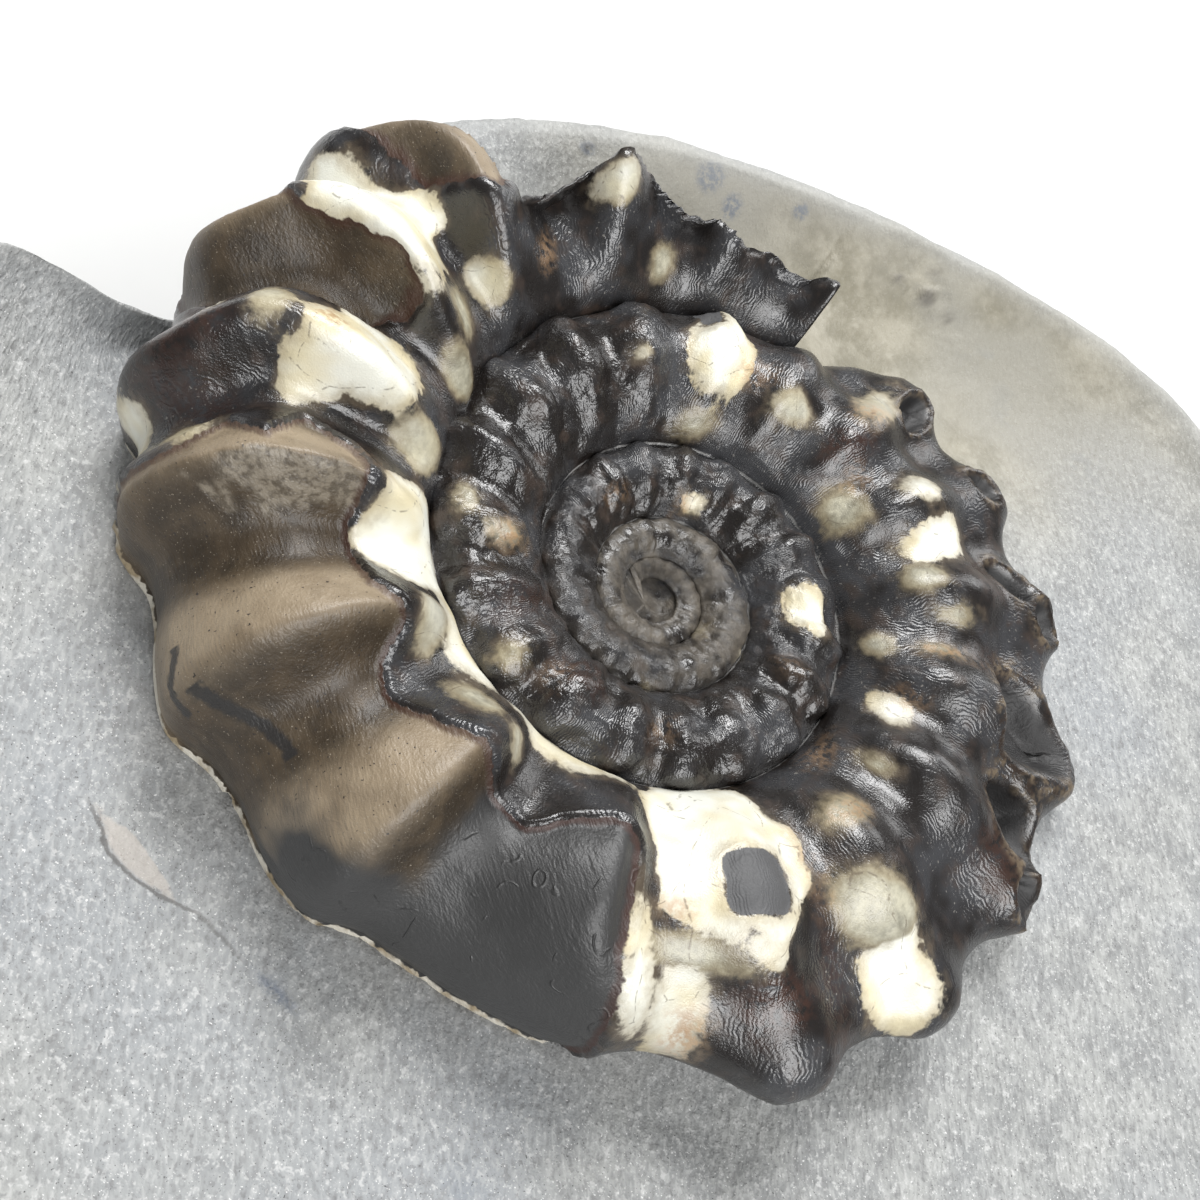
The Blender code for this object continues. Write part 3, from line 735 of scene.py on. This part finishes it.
def surface_detail(angle, section, points, contact):
    """Fine height of the coil's surface in millimetres, and the fields for its material."""
    ragged = layered(points, RAGGED)
    broad = layered(points, BROAD)
    cream, strength = patch_depth(CREAM_PATCHES, angle, section, 0.6 * ragged, 2.2, broad)
    hole = patch_depth(HOLE_PATCHES, angle, section, 0.35 * ragged, 5.0, 0.4 * broad)[0]
    ochre, ochre_strength = patch_depth(OCHRE_PATCHES, angle, section, 1.2 * ragged, 2.0, broad)
    brown, brown_strength = patch_depth(BROWN_PATCHES, angle, section, 1.2 * ragged, 2.0, broad)
    bare = bare_depth(angle, section, 0.55 * ragged + 0.7 * broad)
    cream = np.minimum(np.minimum(cream, -hole), CREAM_OFF_BARE - bare)
    height = shell_height(angle, section, points, bare, hole, cream)

    per_section = mm_per_degree(angle, FLANK_SHARE)
    from_seam = (ANGLE_AT_SEAM - section) * per_section
    line_from, line_width, line_height = SEAM_LINE
    height += line_height * hump(from_seam, line_from, line_width)
    shred = torn_shell(angle, (section - contact) * per_section, ragged)
    height += TORN_HEIGHT * smooth(shred, -0.04, 0.10) * smooth(bare, -0.6, 0.0)
    spot = smooth(patch_depth(ROUGH_SPOT, angle, section, 1.8 * ragged)[0], -0.05, 0.12)
    height -= spot * (ROUGH_SPOT_DEPTH + layered(points, ROUGH_SPOT_HEIGHT))
    pit_height, hollow, lip = broken_tubercles(angle, section, points, ragged)
    # Field for the filling's painted shade and highlight: 1 on the side of each rib that faces the
    # light, 0 in the valley below it
    crest = rib_place(leaning(angle, section))[0] - RIB_HIGHLIGHT_SHIFT

    return height + pit_height, dict(
        growth=angle, section=section, bare=bare, cream=cream, cream_strength=strength,
        hole=hole, ochre=ochre, ochre_strength=ochre_strength, brown=brown,
        brown_strength=brown_strength, hollow=hollow, lip=lip, shred=shred, spot=spot,
        seam=from_seam, crest=0.5 + 0.5 * np.cos(2.0 * math.pi * crest))


def coil_grids():
    """Points and fields of the inner whorls, and of the last turn down to its web."""
    inner_angles = FIRST_ANGLE + TURN / INNER_ROWS * np.arange(INNER_COUNT)
    outer_angles = COVERED_ANGLE + TURN / OUTER_ROWS * np.arange(OUTER_ROWS + 1)
    inner_sections = np.linspace(ANGLE_AT_SEAM, ANGLE_UNDER_NEXT, INNER_COLUMNS + 1)
    flank = np.linspace(ANGLE_AT_SEAM, ANGLE_UNDER_NEXT, FLANK_COLUMNS + 1)
    venter = np.linspace(ANGLE_UNDER_NEXT, VENTER_LOW_ANGLE, VENTER_COLUMNS + 1)[1:]
    outer_sections = np.concatenate([flank, venter, UNDER_ANGLES])
    contacts = np.array([contact_point(angle)[0] for angle in outer_angles])[:, None]
    grids = []
    for angles, sections, contact in ((inner_angles, inner_sections, NO_CONTACT),
                                      (outer_angles, outer_sections, contacts)):
        angle, section = np.meshgrid(angles, sections, indexing="ij")
        points = place(angle, *section_point(angle, section))
        height, fields = surface_detail(angle, section, points, contact)
        grids.append((points + grid_normals(points) * height[..., None], fields))

    points, fields = grids[1]
    web = place(outer_angles, WEB_RADIUS, -WEB_DEPTH)
    fields = {key: np.concatenate([v, v[:, -1:]], 1) for key, v in fields.items()}
    return grids[0], (np.concatenate([points, web[:, None, :]], 1), fields)


def coil_numbers(columns):
    """Vertex numbers of both grids, shared where each whorl lies on the one before."""
    inner = np.arange(INNER_COUNT * (INNER_COLUMNS + 1)).reshape(INNER_COUNT, -1)
    outer = inner.size + np.arange((OUTER_ROWS + 1) * columns).reshape(-1, columns)
    outer[0, FLANK_COLUMNS] = outer[OUTER_ROWS, 0]
    outer[OUTER_ROWS, -1] = outer[0, -1]
    inner[:-INNER_ROWS, -1] = inner[INNER_ROWS:, 0]
    inner[-INNER_ROWS:, -1] = outer[:OUTER_ROWS:2, 0]
    return np.vstack([inner, outer[0, :FLANK_COLUMNS + 1:2]]), outer


def coil_faces(inner, outer):
    """Triangles of the whorls; where the grids meet, one wide edge meets two narrow ones."""
    parts = []
    for i in range(INNER_COUNT - 1):
        past = i + INNER_ROWS - INNER_COUNT
        if past < 0:
            parts.append(quads(inner[i], inner[i + 1]))
            continue
        parts.append(quads(inner[i, :-1], inner[i + 1, :-1]))
        a, b, c, d = inner[i, -2], inner[i + 1, -2], inner[i + 1, -1], inner[i, -1]
        middle = outer[2 * past + 1, 0]
        parts.append(np.array([(a, b, middle), (b, c, middle), (a, middle, d)]))
    for j in range(INNER_COLUMNS):
        a, b, c, d = inner[-2, j], inner[-1, j], inner[-1, j + 1], inner[-2, j + 1]
        middle = outer[0, 2 * j + 1]
        if j < INNER_COLUMNS - 1:
            parts.append(np.array([(a, b, middle), (a, middle, d), (middle, c, d)]))
        else:
            beside = outer[2 * INNER_ROWS - 1, 0]
            parts.append(np.array([(a, b, middle), (a, middle, c), (a, c, beside),
                                   (a, beside, d)]))
    return parts + [quads(outer[i], outer[i + 1]) for i in range(OUTER_ROWS)]


def broken_end(points, outer):
    """Triangles that close the end of the last whorl."""
    outline = np.concatenate([outer[OUTER_ROWS], outer[0, -2:FLANK_COLUMNS:-1]])
    flat = [Vector((math.hypot(*points[k, :2]), points[k, 2], 0.0)) for k in outline]
    return np.array([[outline[k] for k in triangle] for triangle in tessellate_polygon([flat])])


def build_ammonite(material):
    """One closed spiral surface, finer on the last turn than on the inner whorls."""
    (inner_points, inner_fields), (outer_points, outer_fields) = coil_grids()
    inner, outer = coil_numbers(outer_points.shape[1])
    start = seam_radius(FIRST_ANGLE)
    back, out, up = DIMPLE
    middle = place(np.array([FIRST_ANGLE + back]), out * start, up * start)
    bottom = place(np.array([0.0]), 0.0, -WEB_DEPTH)
    points = np.concatenate([inner_points.reshape(-1, 3), outer_points.reshape(-1, 3),
                             middle, bottom])
    fields = {key: np.concatenate([v.ravel(), outer_fields[key].ravel(), (v[0, 0], -1.0)])
              for key, v in inner_fields.items()}
    start_loop = np.concatenate([inner[:INNER_ROWS, 0], inner[0, :0:-1]])
    parts = coil_faces(inner, outer)
    parts.append(fan(start_loop, len(points) - 2))
    parts.append(fan(outer[:OUTER_ROWS, -1], len(points) - 1))
    parts.append(broken_end(points, outer))
    thing = make_object("ammonite_coil", points, np.concatenate(parts), fields, material)
    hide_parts("ammonite")


def dent_depth(azimuth, radius, points):
    """1 in the middle of the small dents, 0 outside them."""
    dents = np.zeros(radius.shape)
    for turn, out, size in STONE_DENTS:
        away = np.hypot((azimuth - turn) * np.radians(out), radius - out) / size
        dents = np.maximum(dents, 1.0 - smooth(away, 0.3, 1.0))
    return dents * smooth(noise(points, 0.8, 72), -0.35, 0.25)


def stone_marks(azimuth, radius, in_dish):
    """Fields of the shell fragment and of the blue stains."""
    turns, middles, halves = np.array(FRAGMENT).T
    middle = np.interp(azimuth, turns, middles)
    half = np.interp(azimuth, turns, halves)
    inside = half - np.abs(radius - middle)
    blue = np.zeros(radius.shape)
    for turn, out, length, width in BLUE_STAINS:
        stain = hump((azimuth - turn) * np.radians(out), 0.0, length) * hump(radius, out, width)
        blue = np.maximum(blue, stain)
    return {
        "fragment": inside * in_dish - NOT_IN_DISH * (1.0 - in_dish),
        "fragment_line": radius - middle - half,
        "line_here": between(azimuth, *FRAGMENT_LINE) * in_dish,
        "blue": blue * in_dish,
    }


def build_stone(material):
    """The nodule: pocket, dish, rim, weathered side and flat underside."""
    angles = LAST_ANGLE - TURN + TURN / STONE_ROWS * (np.arange(STONE_ROWS) + 1.0)
    radii, heights, channels = zip(*(stone_profile(angle) for angle in angles))
    radius = np.array(radii)
    angle = np.repeat(angles[:, None], radius.shape[1], 1)
    points = place(angle, radius, np.array(heights))
    normal = -grid_normals(np.concatenate([points[-1:], points, points[:1]]))[1:-1]

    # Where the columns lie: seen at all, in the dish, or on the weathered outside
    index = np.arange(radius.shape[1])
    rim = POCKET_COLUMNS + DISH_COLUMNS
    base = len(index) - BASE_COLUMNS
    seen = between(index, POCKET_COLUMNS, POCKET_COLUMNS + 4.0, base - 3.0, base)
    in_dish = between(index, POCKET_COLUMNS, POCKET_COLUMNS + 6.0, rim - 4.0, rim + 6.0)
    outside = smooth(index, rim + 2.0, rim + 14.0)
    channel = np.array(channels)[:, None] * in_dish

    rise = rough(points, *STONE_WAVES) + rough(points, *STONE_GRAIN) * (1.0 - 0.5 * channel)
    rise += outside * (rough(points, *WEATHERED)
                       + np.abs(layered(points, WEATHERED_PITS)))
    points = points + normal * (rise * seen)[..., None]
    azimuth = -angle % TURN
    corner_azimuth, corner_radius, spread_round, spread_out = CORNER
    corner = hump(azimuth, corner_azimuth, spread_round) * hump(radius, corner_radius, spread_out)
    points = points + normal * (corner * rough(points, *CORNER_ROUGH))[..., None]
    dents = dent_depth(azimuth, radius, points)
    points = points - normal * (DENT_DEPTH * dents)[..., None]

    fields = stone_marks(azimuth, radius, in_dish)
    fields["dent"] = dents
    fields["channel"] = channel
    # Fields for the painted shade along the shell, the painted highlight along the rim and the
    # weathered outside
    for key, values in (("near_shell", np.exp(-np.maximum(0.0, index - POCKET_COLUMNS) / 4.0)),
                        ("rim", hump(index, rim + 2.0, 5.0)), ("outside", outside)):
        fields[key] = np.broadcast_to(values, radius.shape)
    fields = {key: np.append(values.ravel(), (0.0, 0.0)) for key, values in fields.items()}
    ids = np.arange(radius.size).reshape(radius.shape)
    parts = [quads(ids[i], ids[(i + 1) % STONE_ROWS]) for i in range(STONE_ROWS)]
    parts += [fan(ids[:, 0], radius.size), fan(ids[:, -1], radius.size + 1)]
    middles = np.array([(0.0, 0.0, -POCKET_DEPTH), (0.0, 0.0, FLOOR)])
    points = np.concatenate([points.reshape(-1, 3), middles])
    thing = make_object("nodule", points, np.concatenate(parts), fields, material)
    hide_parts("matrix")


# ---- materials

# Colours; where there are two, the shader draws one between them
SHELL_BLACK = (0.0125, 0.0100, 0.0088)
SHELL_GREY = (0.046, 0.0465, 0.050)
SHELL_WARM = (0.048, 0.032, 0.024)
RED_BROWN = (0.046, 0.021, 0.014)
OCHRE = ((0.120, 0.066, 0.034), (0.38, 0.25, 0.145))
DUST = (0.34, 0.32, 0.29)
CREAM_MARGIN = (0.115, 0.090, 0.062)
CREAM = ((0.87, 0.87, 0.775), (0.75, 0.67, 0.45))
CREAM_EDGE = (0.33, 0.26, 0.15)
DULL_CREAM = ((0.165, 0.150, 0.102), (0.400, 0.375, 0.272))
DULL_MIDDLE = (0.58, 0.55, 0.42)
AMBER = (0.36, 0.17, 0.045)
CRACK = (0.085, 0.055, 0.032)
HOLE_GREY = (0.075, 0.075, 0.077)
# Filling: the dark end is darker brown plus painted shade in the rib valleys, the pale end a
# painted highlight on each rib's lit side
FILLING_SHADE_TO_HIGHLIGHT = ((0.030, 0.019, 0.008), (0.330, 0.258, 0.172))
FILLING_WARM = (0.170, 0.118, 0.065)
FILLING_DARK = (0.052, 0.032, 0.014)
PALE_GRAIN = (0.36, 0.31, 0.24)
DARK_GRAIN = (0.020, 0.014, 0.010)
LAST_CHAMBER = (0.033, 0.0325, 0.0320)
ROUGH_FILLING = ((0.100, 0.080, 0.055), (0.240, 0.205, 0.155))
BROKEN_EDGE = (0.045, 0.013, 0.006)
STREAK = (0.010, 0.009, 0.009)
SEAM_PALE = (0.30, 0.295, 0.285)
CORE = ((0.022, 0.018, 0.014), (0.175, 0.150, 0.115))
LIP = ((0.034, 0.022, 0.015), (0.150, 0.115, 0.075))
HOLLOW = (0.006, 0.005, 0.005)
TORN_SHELL = ((0.68, 0.64, 0.55), (0.34, 0.27, 0.17))
STONE = ((0.272, 0.278, 0.275), (0.385, 0.390, 0.378))
CHANNEL_STONE = ((0.215, 0.193, 0.130), (0.345, 0.315, 0.238))
CHANNEL_CLOUD = (0.300, 0.282, 0.228)
FLOOR_TONES = ((0.72, 0.72, 0.71), (0.76, 0.76, 0.75))
LIRAE_SPACING = 0.75  # degrees of growth


class Value:
    """Number or colour that a shader works out; it takes part in sums like a plain number."""

    def __init__(self, shader, socket):
        self.shader = shader
        self.socket = socket

    def __add__(self, other):
        return self.shader.maths("ADD", self, other)

    def __sub__(self, other):
        return self.shader.maths("SUBTRACT", self, other)

    def __rsub__(self, other):
        return self.shader.maths("SUBTRACT", other, self)

    def __mul__(self, other):
        return self.shader.maths("MULTIPLY", self, other)

    def __abs__(self):
        return self.shader.maths("ABSOLUTE", self)

    __radd__ = __add__
    __rmul__ = __mul__


class Shader:
    """Short way to build a node material."""

    def __init__(self, name):
        self.material = bpy.data.materials.new(name)
        self.material.use_nodes = True
        self.tree = self.material.node_tree
        self.surface = self.tree.nodes["Principled BSDF"].inputs
        self.coordinates = Value(self, self.node("TexCoord").outputs["Object"])

    def node(self, kind, **settings):
        node = self.tree.nodes.new("ShaderNode" + kind)
        for key, value in settings.items():
            setattr(node, key, value)
        return node

    def wire(self, socket, value):
        if isinstance(value, Value):
            self.tree.links.new(value.socket, socket)
        else:
            socket.default_value = value

    def field(self, name):
        return Value(self, self.node("Attribute", attribute_name=name).outputs["Fac"])

    def maths(self, operation, first, second=0.0):
        node = self.node("Math", operation=operation)
        self.wire(node.inputs[0], first)
        self.wire(node.inputs[1], second)
        return Value(self, node.outputs[0])

    def step(self, value, low, high):
        """Eased step of a value from 0 at low to 1 at high."""
        node = self.node("MapRange", interpolation_type="SMOOTHSTEP")
        for key, amount in enumerate((value, low, high)):
            self.wire(node.inputs[key], amount)
        return Value(self, node.outputs[0])

    def noise(self, size, detail, roughness=0.55, vector=None, output="Fac"):
        """Noise of a given size in millimetres, from 0 to 1."""
        node = self.node("TexNoise")
        self.wire(node.inputs["Vector"], vector or self.coordinates)
        node.inputs["Scale"].default_value = 1.0 / (size * MM)
        node.inputs["Detail"].default_value = detail
        node.inputs["Roughness"].default_value = roughness
        return Value(self, node.outputs[output])

    def stretched(self, size, length, turn):
        """Noise drawn out into short strokes, length times as long as they are wide."""
        node = self.node("Mapping", vector_type="TEXTURE")
        self.wire(node.inputs["Vector"], self.coordinates)
        node.inputs["Rotation"].default_value = (0.0, 0.0, math.radians(turn))
        node.inputs["Scale"].default_value = (1.0, length, 1.0)
        return self.noise(size, 1.0, 0.6, Value(self, node.outputs["Vector"]))

    def cracks(self, size, width):
        """1 along thin irregular lines between cells of a given size."""
        wobble_size = 0.9 * size
        wobble = self.node("VectorMath", operation="SCALE")
        wobble.inputs["Scale"].default_value = wobble_size * MM
        self.wire(wobble.inputs[0], self.noise(wobble_size, 1.0, 0.5, output="Color"))
        shifted = self.node("VectorMath", operation="ADD")
        self.wire(shifted.inputs[0], self.coordinates)
        self.wire(shifted.inputs[1], Value(self, wobble.outputs[0]))
        cells = self.node("TexVoronoi", feature="DISTANCE_TO_EDGE")
        self.wire(cells.inputs["Vector"], Value(self, shifted.outputs[0]))
        cells.inputs["Scale"].default_value = 1.0 / (size * MM)
        return self.step(Value(self, cells.outputs["Distance"]), width, 0.0)

    def blend(self, share, first, second):
        """Colour between two colours."""
        node = self.node("Mix", data_type="RGBA")
        self.wire(node.inputs[0], share)
        for socket, colour in ((node.inputs[6], first), (node.inputs[7], second)):
            self.wire(socket, colour if isinstance(colour, Value) else (*colour, 1.0))
        return Value(self, node.outputs[2])

    def layers(self, colour, shades):
        """Colour with shades laid over it, each with its share."""
        for share, shade in shades:
            colour = self.blend(share, colour, shade)
        return colour

    def mix(self, share, first, second):
        """Number between two numbers."""
        node = self.node("Mix")
        self.wire(node.inputs[0], share)
        self.wire(node.inputs[2], first)
        self.wire(node.inputs[3], second)
        return Value(self, node.outputs[0])

    def bump(self, layers):
        """Normal bent by layers of fine height, each with its depth in millimetres."""
        node = self.node("Bump")
        node.inputs["Distance"].default_value = MM
        self.wire(node.inputs["Height"], sum(height * depth for height, depth in layers))
        self.wire(self.surface["Normal"], Value(self, node.outputs["Normal"]))


def shell_noises(s):
    """Noises that the parts of the ammonite's material share."""
    fine = s.noise(0.35, 2.0, 0.6)
    return SimpleNamespace(
        coarse=s.noise(3.2, 2.0, 0.6), medium=s.noise(1.2, 2.0, 0.6), fine=fine,
        grain=s.noise(0.075, 1.0, 0.6), specks=s.noise(0.16, 1.0, 0.5), jitter=(fine - 0.5) * 0.5)


def shell_colour(s, n):
    """Black-brown shell with ochre, dust and cream patches, and how far the cream covers it."""
    brown = s.step(s.field("brown"), -0.7, 0.5) * s.field("brown_strength")
    ochre = s.step(s.field("ochre"), -0.6, 0.5) * s.field("ochre_strength")
    ochre = ochre * s.step(n.fine, 0.34, 0.62)
    shell = s.layers(SHELL_BLACK, (
        (s.step(n.coarse, 0.42, 0.66), SHELL_GREY),
        (s.step(n.medium, 0.50, 0.74) * 0.7, SHELL_WARM),
        (brown * s.step(n.fine, 0.30, 0.60), RED_BROWN),
        (ochre * 0.8, s.blend(n.medium, *OCHRE)),
        (s.step(n.specks, 0.69, 0.74) * s.step(n.coarse, 0.46, 0.58) * 0.5, DUST),
    ))

    # Cream patches with a see-through grey-brown margin and hair-fine cracks
    cream = s.field("cream") + n.jitter
    strength = s.field("cream_strength")
    dull = s.layers(s.blend(s.step(n.medium, 0.35, 0.65), *DULL_CREAM), (
        (s.step(cream, 0.15, 0.95) * 0.7, DULL_MIDDLE),
    ))
    dull = s.blend(s.step(n.fine, 0.15, 0.75), s.blend(0.4, dull, shell), dull)
    white = s.blend(s.step(n.coarse, 0.40, 0.66), *CREAM)
    white = s.blend(s.step(strength, 0.55, 0.95), dull, white)
    white = s.blend(s.step(cream, 0.0, 0.70), s.blend(0.60, white, CREAM_EDGE), white)
    cracks = s.cracks(3.4, 0.016) * s.step(n.fine, 0.45, 0.60)
    white = s.layers(white, ((ochre * 0.75, AMBER), (cracks * 0.6, CRACK)))
    margin = s.step(cream, -0.50, 0.0) * s.step(n.medium, 0.34, 0.62)
    cover = s.step(cream, s.mix(strength, -0.40, -0.04), s.mix(strength, 0.60, 0.12))
    hole = s.step(s.field("hole") + n.jitter * 0.5, -0.03, 0.02)
    colour = s.layers(shell, (
        (margin * 0.8, CREAM_MARGIN),
        (cover, white),
        (hole, HOLE_GREY),
    ))
    return colour, cover, hole


def filling_colour(s, n, growth, section, bare):
    """Grey-brown stone filling with painted rib shade and highlight, near black in the last
    chamber, and how far it is black.
    """
    last_chamber = s.step(growth, 814.0, 802.0) * s.step(growth, 774.0, 782.0)
    low = s.step(section, 70.0, 26.0) * s.step(growth, 834.0, 812.0)
    dark = s.maths("MAXIMUM", last_chamber, low * 0.9)
    dark = s.step(dark + (n.coarse - 0.5), 0.30, 0.72)
    # Darker brown and painted shade in the rib valleys, painted highlight on the lit side of each
    # rib
    crest = s.step(s.field("crest") + n.jitter * 0.4, 0.22, 1.0)
    colour = s.layers(s.blend(crest, *FILLING_SHADE_TO_HIGHLIGHT), (
        (s.step(n.medium, 0.35, 0.70) * 0.3, FILLING_WARM),
        (s.step(n.coarse, 0.44, 0.66) * 0.45, FILLING_DARK),
        (s.step(n.grain, 0.665, 0.80), PALE_GRAIN),
        (s.step(n.specks, 0.70, 0.76), DARK_GRAIN),
        (dark, LAST_CHAMBER),
        (s.field("spot"), s.blend(s.step(n.fine, 0.35, 0.60), *ROUGH_FILLING)),
        (s.step(bare, 0.30, 0.04) * 0.75, BROKEN_EDGE),
    ))
    for start, end, from_section, to_section, width in STREAKS:
        middle = s.step(growth, start, end) * (to_section - from_section) + from_section
        away = abs(section - middle) + (n.fine - 0.5) * 5.0
        streak = s.step(away, width, 0.4 * width) * s.step(growth, start - 0.3, start)
        streak = streak * s.step(growth, end + 0.3, end)
        colour = s.blend(streak * 0.9, colour, STREAK)
    return colour, dark


def shell_material():
    """Glossy black-brown shell with cream patches, over the satin filling of the body chamber."""
    s = Shader("ammonite_shell")
    n = shell_noises(s)
    growth = s.field("growth")
    section = s.field("section")
    bare = s.field("bare") + n.jitter * 0.35
    is_bare = s.step(bare, -0.03, 0.03)
    shell, cover, hole = shell_colour(s, n)
    filling, dark = filling_colour(s, n, growth, section, bare)

    # Pale line along the seam, dull core, hollows of broken tubercles and torn white shell
    seam = s.field("seam") + n.jitter * 0.25
    line = s.step(seam, 0.05, 0.11) * s.step(seam, 0.24, 0.17)
    line = line * (s.step(n.medium, 0.30, 0.46) * s.step(growth, 60.0, 200.0))
    core = s.step(growth, 190.0, -60.0) * s.step(n.medium, 0.32, 0.62)
    hollow = s.step(s.field("hollow"), 0.10, 0.40)
    shred = s.step(s.field("shred") + n.jitter * 0.4, -0.02, 0.04)
    s.wire(s.surface["Base Color"], s.layers(s.blend(is_bare, shell, filling), (
        (line * 0.9, SEAM_PALE),
        (core * 0.85, s.blend(n.fine, *CORE)),
        (s.field("lip") * s.step(n.fine, 0.36, 0.60), s.blend(s.step(n.medium, 0.45, 0.62), *LIP)),
        (hollow, HOLLOW),
        (shred, s.blend(s.step(n.medium, 0.42, 0.62), *TORN_SHELL)),
    )))

    gloss = s.mix(cover, s.mix(n.medium, 0.14, 0.42), s.mix(n.fine, 0.30, 0.45))
    for share, roughness in ((hole, 0.62), (core, 0.55), (is_bare, s.mix(n.grain, 0.42, 0.60)),
                             (hollow, 0.60)):
        gloss = s.mix(share, gloss, roughness)
    s.wire(s.surface["Roughness"], gloss)
    s.surface["Specular IOR Level"].default_value = 0.8

    # Growth lines, wrinkles, grain, strokes and leathery folds
    wander = (n.medium - 0.5) * 5.0
    lirae = s.maths("SINE", (growth + wander) * (2.0 * math.pi / LIRAE_SPACING))
    lirae = lirae * s.step(n.coarse, 0.38, 0.62) * ((1.0 - is_bare) * s.mix(cover, 1.0, 0.15))
    wrinkles = n.fine * s.mix(s.step(growth, *reversed(INNER_WHORLS)), 0.22, 1.0)
    folds = s.step(abs(n.coarse - 0.5), 0.014, 0.0) * (is_bare * dark)
    s.bump((
        (lirae, 0.007),
        (wrinkles * s.mix(is_bare, 1.0, 0.5), 0.07),
        (n.grain, 0.015),
        (s.stretched(0.14, 5.0, 62.0) * is_bare, 0.035),
        (folds * s.step(n.medium, 0.50, 0.60), 0.045),
    ))
    return s.material


def stone_material():
    """Light grey limestone: granular, with fine strokes left by the cleaning."""
    s = Shader("limestone")
    cloud = s.noise(14.0, 2.0, 0.6)
    mottle = s.noise(2.4, 3.0, 0.68)
    grit = s.noise(0.33, 2.0, 0.75)
    dust = s.noise(0.10, 1.0, 0.6)
    strokes = s.stretched(0.22, 2.8, 38.0)
    channel = s.field("channel")
    beige = s.blend(s.step(mottle, 0.35, 0.65), *CHANNEL_STONE)
    beige = s.blend(s.step(cloud, 0.42, 0.60), beige, CHANNEL_CLOUD)
    wobble = (grit - 0.5) * 0.5
    edge = s.step(abs(s.field("fragment_line") + wobble * 0.6), 0.13, 0.03)
    near = s.step(s.field("near_shell"), 0.35, 0.95) * s.step(mottle, 0.25, 0.60)
    s.wire(s.surface["Base Color"], s.layers(s.blend(s.step(mottle, 0.34, 0.66), *STONE), (
        (s.step(cloud, 0.40, 0.65), (0.325, 0.337, 0.345)),
        (s.step(strokes, 0.50, 0.71) * 0.35, (0.56, 0.56, 0.55)),
        (s.step(strokes, 0.465, 0.29) * 0.5, (0.22, 0.22, 0.22)),
        (s.step(grit, 0.55, 0.71) * 0.6, (0.62, 0.62, 0.61)),
        (s.step(grit, 0.43, 0.31) * 0.6, (0.20, 0.20, 0.20)),
        (s.step(dust, 0.68, 0.78), (0.09, 0.09, 0.09)),
        (s.step(dust, 0.33, 0.25), (0.70, 0.70, 0.69)),
        (channel * 0.85, beige),
        # Grey-blue stains
        (s.step(cloud, 0.60, 0.70) * s.step(mottle, 0.50, 0.62) * 0.35, (0.17, 0.20, 0.24)),
        (s.step(s.field("blue"), 0.15, 0.75) * s.step(grit, 0.30, 0.60) * 0.75,
         (0.115, 0.140, 0.185)),
        # Shell fragment, its dark outline, dents, shade at the shell, painted highlight along the
        # rim, weathered outside
        (s.step(s.field("fragment") + wobble, 0.0, 0.25) * 0.6, (0.52, 0.47, 0.42)),
        (edge * s.field("line_here") * 0.7, (0.10, 0.095, 0.09)),
        (s.field("dent") * 0.7, (0.10, 0.09, 0.075)),
        (near * 0.5, (0.13, 0.125, 0.12)),
        (s.field("rim") * 0.35, (0.50, 0.50, 0.48)),
        (s.field("outside") * 0.35, (0.27, 0.255, 0.22)),
    )))
    roughness = s.mix(channel, s.mix(grit, 0.72, 0.92), s.mix(grit, 0.45, 0.62))
    s.wire(s.surface["Roughness"], roughness)
    rest = s.mix(channel, 1.0, 0.35)
    s.bump(((strokes * rest, 0.10), (grit * rest, 0.07), (dust, 0.018)))
    return s.material


# ---- floor, lights, camera

FLOOR_HALF = 1.6
WORLD_COLOUR = (0.93, 0.96, 1.0, 1.0)
WORLD_STRENGTH = 0.16
# Name, place in metres, size and power
LIGHTS = (
    ("key", (-0.22, 0.24, 0.42), 0.24, 2.9),
    ("back", (0.08, 0.46, 0.24), 0.20, 0.5),
    ("front", (0.28, -0.24, 0.42), 0.36, 3.0),
)
# Camera: its axes, its place from the coil's centre, sensor and lens
CAMERA_RIGHT = (0.7025, 0.5880, 0.4010)
CAMERA_UP = (-0.7117, 0.5803, 0.3958)
CAMERA_FORWARD = (0.0, 0.5635, -0.8261)
CAMERA_PLACE = (-1.628, -32.860, 45.373)
SENSOR = 36.0
LENS = 36.0
NEAREST = 0.001


def build_stage():
    """Plain pale floor and soft studio light."""
    data = bpy.data.meshes.new("floor")
    corners = [(x * FLOOR_HALF, y * FLOOR_HALF, 0.0)
               for x, y in ((-1, -1), (1, -1), (1, 1), (-1, 1))]
    data.from_pydata(corners, [], [(0, 1, 2, 3)])
    s = Shader("floor")
    s.wire(s.surface["Base Color"], s.blend(s.noise(60.0, 2.0), *FLOOR_TONES))
    s.surface["Roughness"].default_value = 0.8
    data.materials.append(s.material)
    floor = add("floor", data)

    bpy.context.scene.view_settings.view_transform = "Standard"
    world = bpy.data.worlds.new("studio")
    bpy.context.scene.world = world
    world.use_nodes = True
    background = world.node_tree.nodes["Background"].inputs
    background["Color"].default_value = WORLD_COLOUR
    background["Strength"].default_value = WORLD_STRENGTH
    for name, spot, size, power in LIGHTS:
        lamp = bpy.data.lights.new(name, "AREA")
        lamp.size = size
        lamp.energy = power
        thing = add(name, lamp)
        thing.location = spot
        aim = Vector(COIL_CENTRE) - Vector(spot)
        thing.rotation_euler = aim.to_track_quat("-Z", "Y").to_euler()


def build_camera():
    """Close over the fossil, looking down across it."""
    axes = (Vector(CAMERA_RIGHT), Vector(CAMERA_UP), -Vector(CAMERA_FORWARD))
    spot = Vector(COIL_CENTRE) + Vector(CAMERA_PLACE) * MM
    lens = bpy.data.cameras.new("camera")
    lens.sensor_width = SENSOR
    lens.lens = LENS
    lens.clip_start = NEAREST
    camera = add("camera", lens)
    camera.matrix_world = Matrix.Translation(spot) @ Matrix(axes).transposed().to_4x4()
    bpy.context.scene.camera = camera


build_ammonite(shell_material())
build_stone(stone_material())
build_stage()
build_camera()
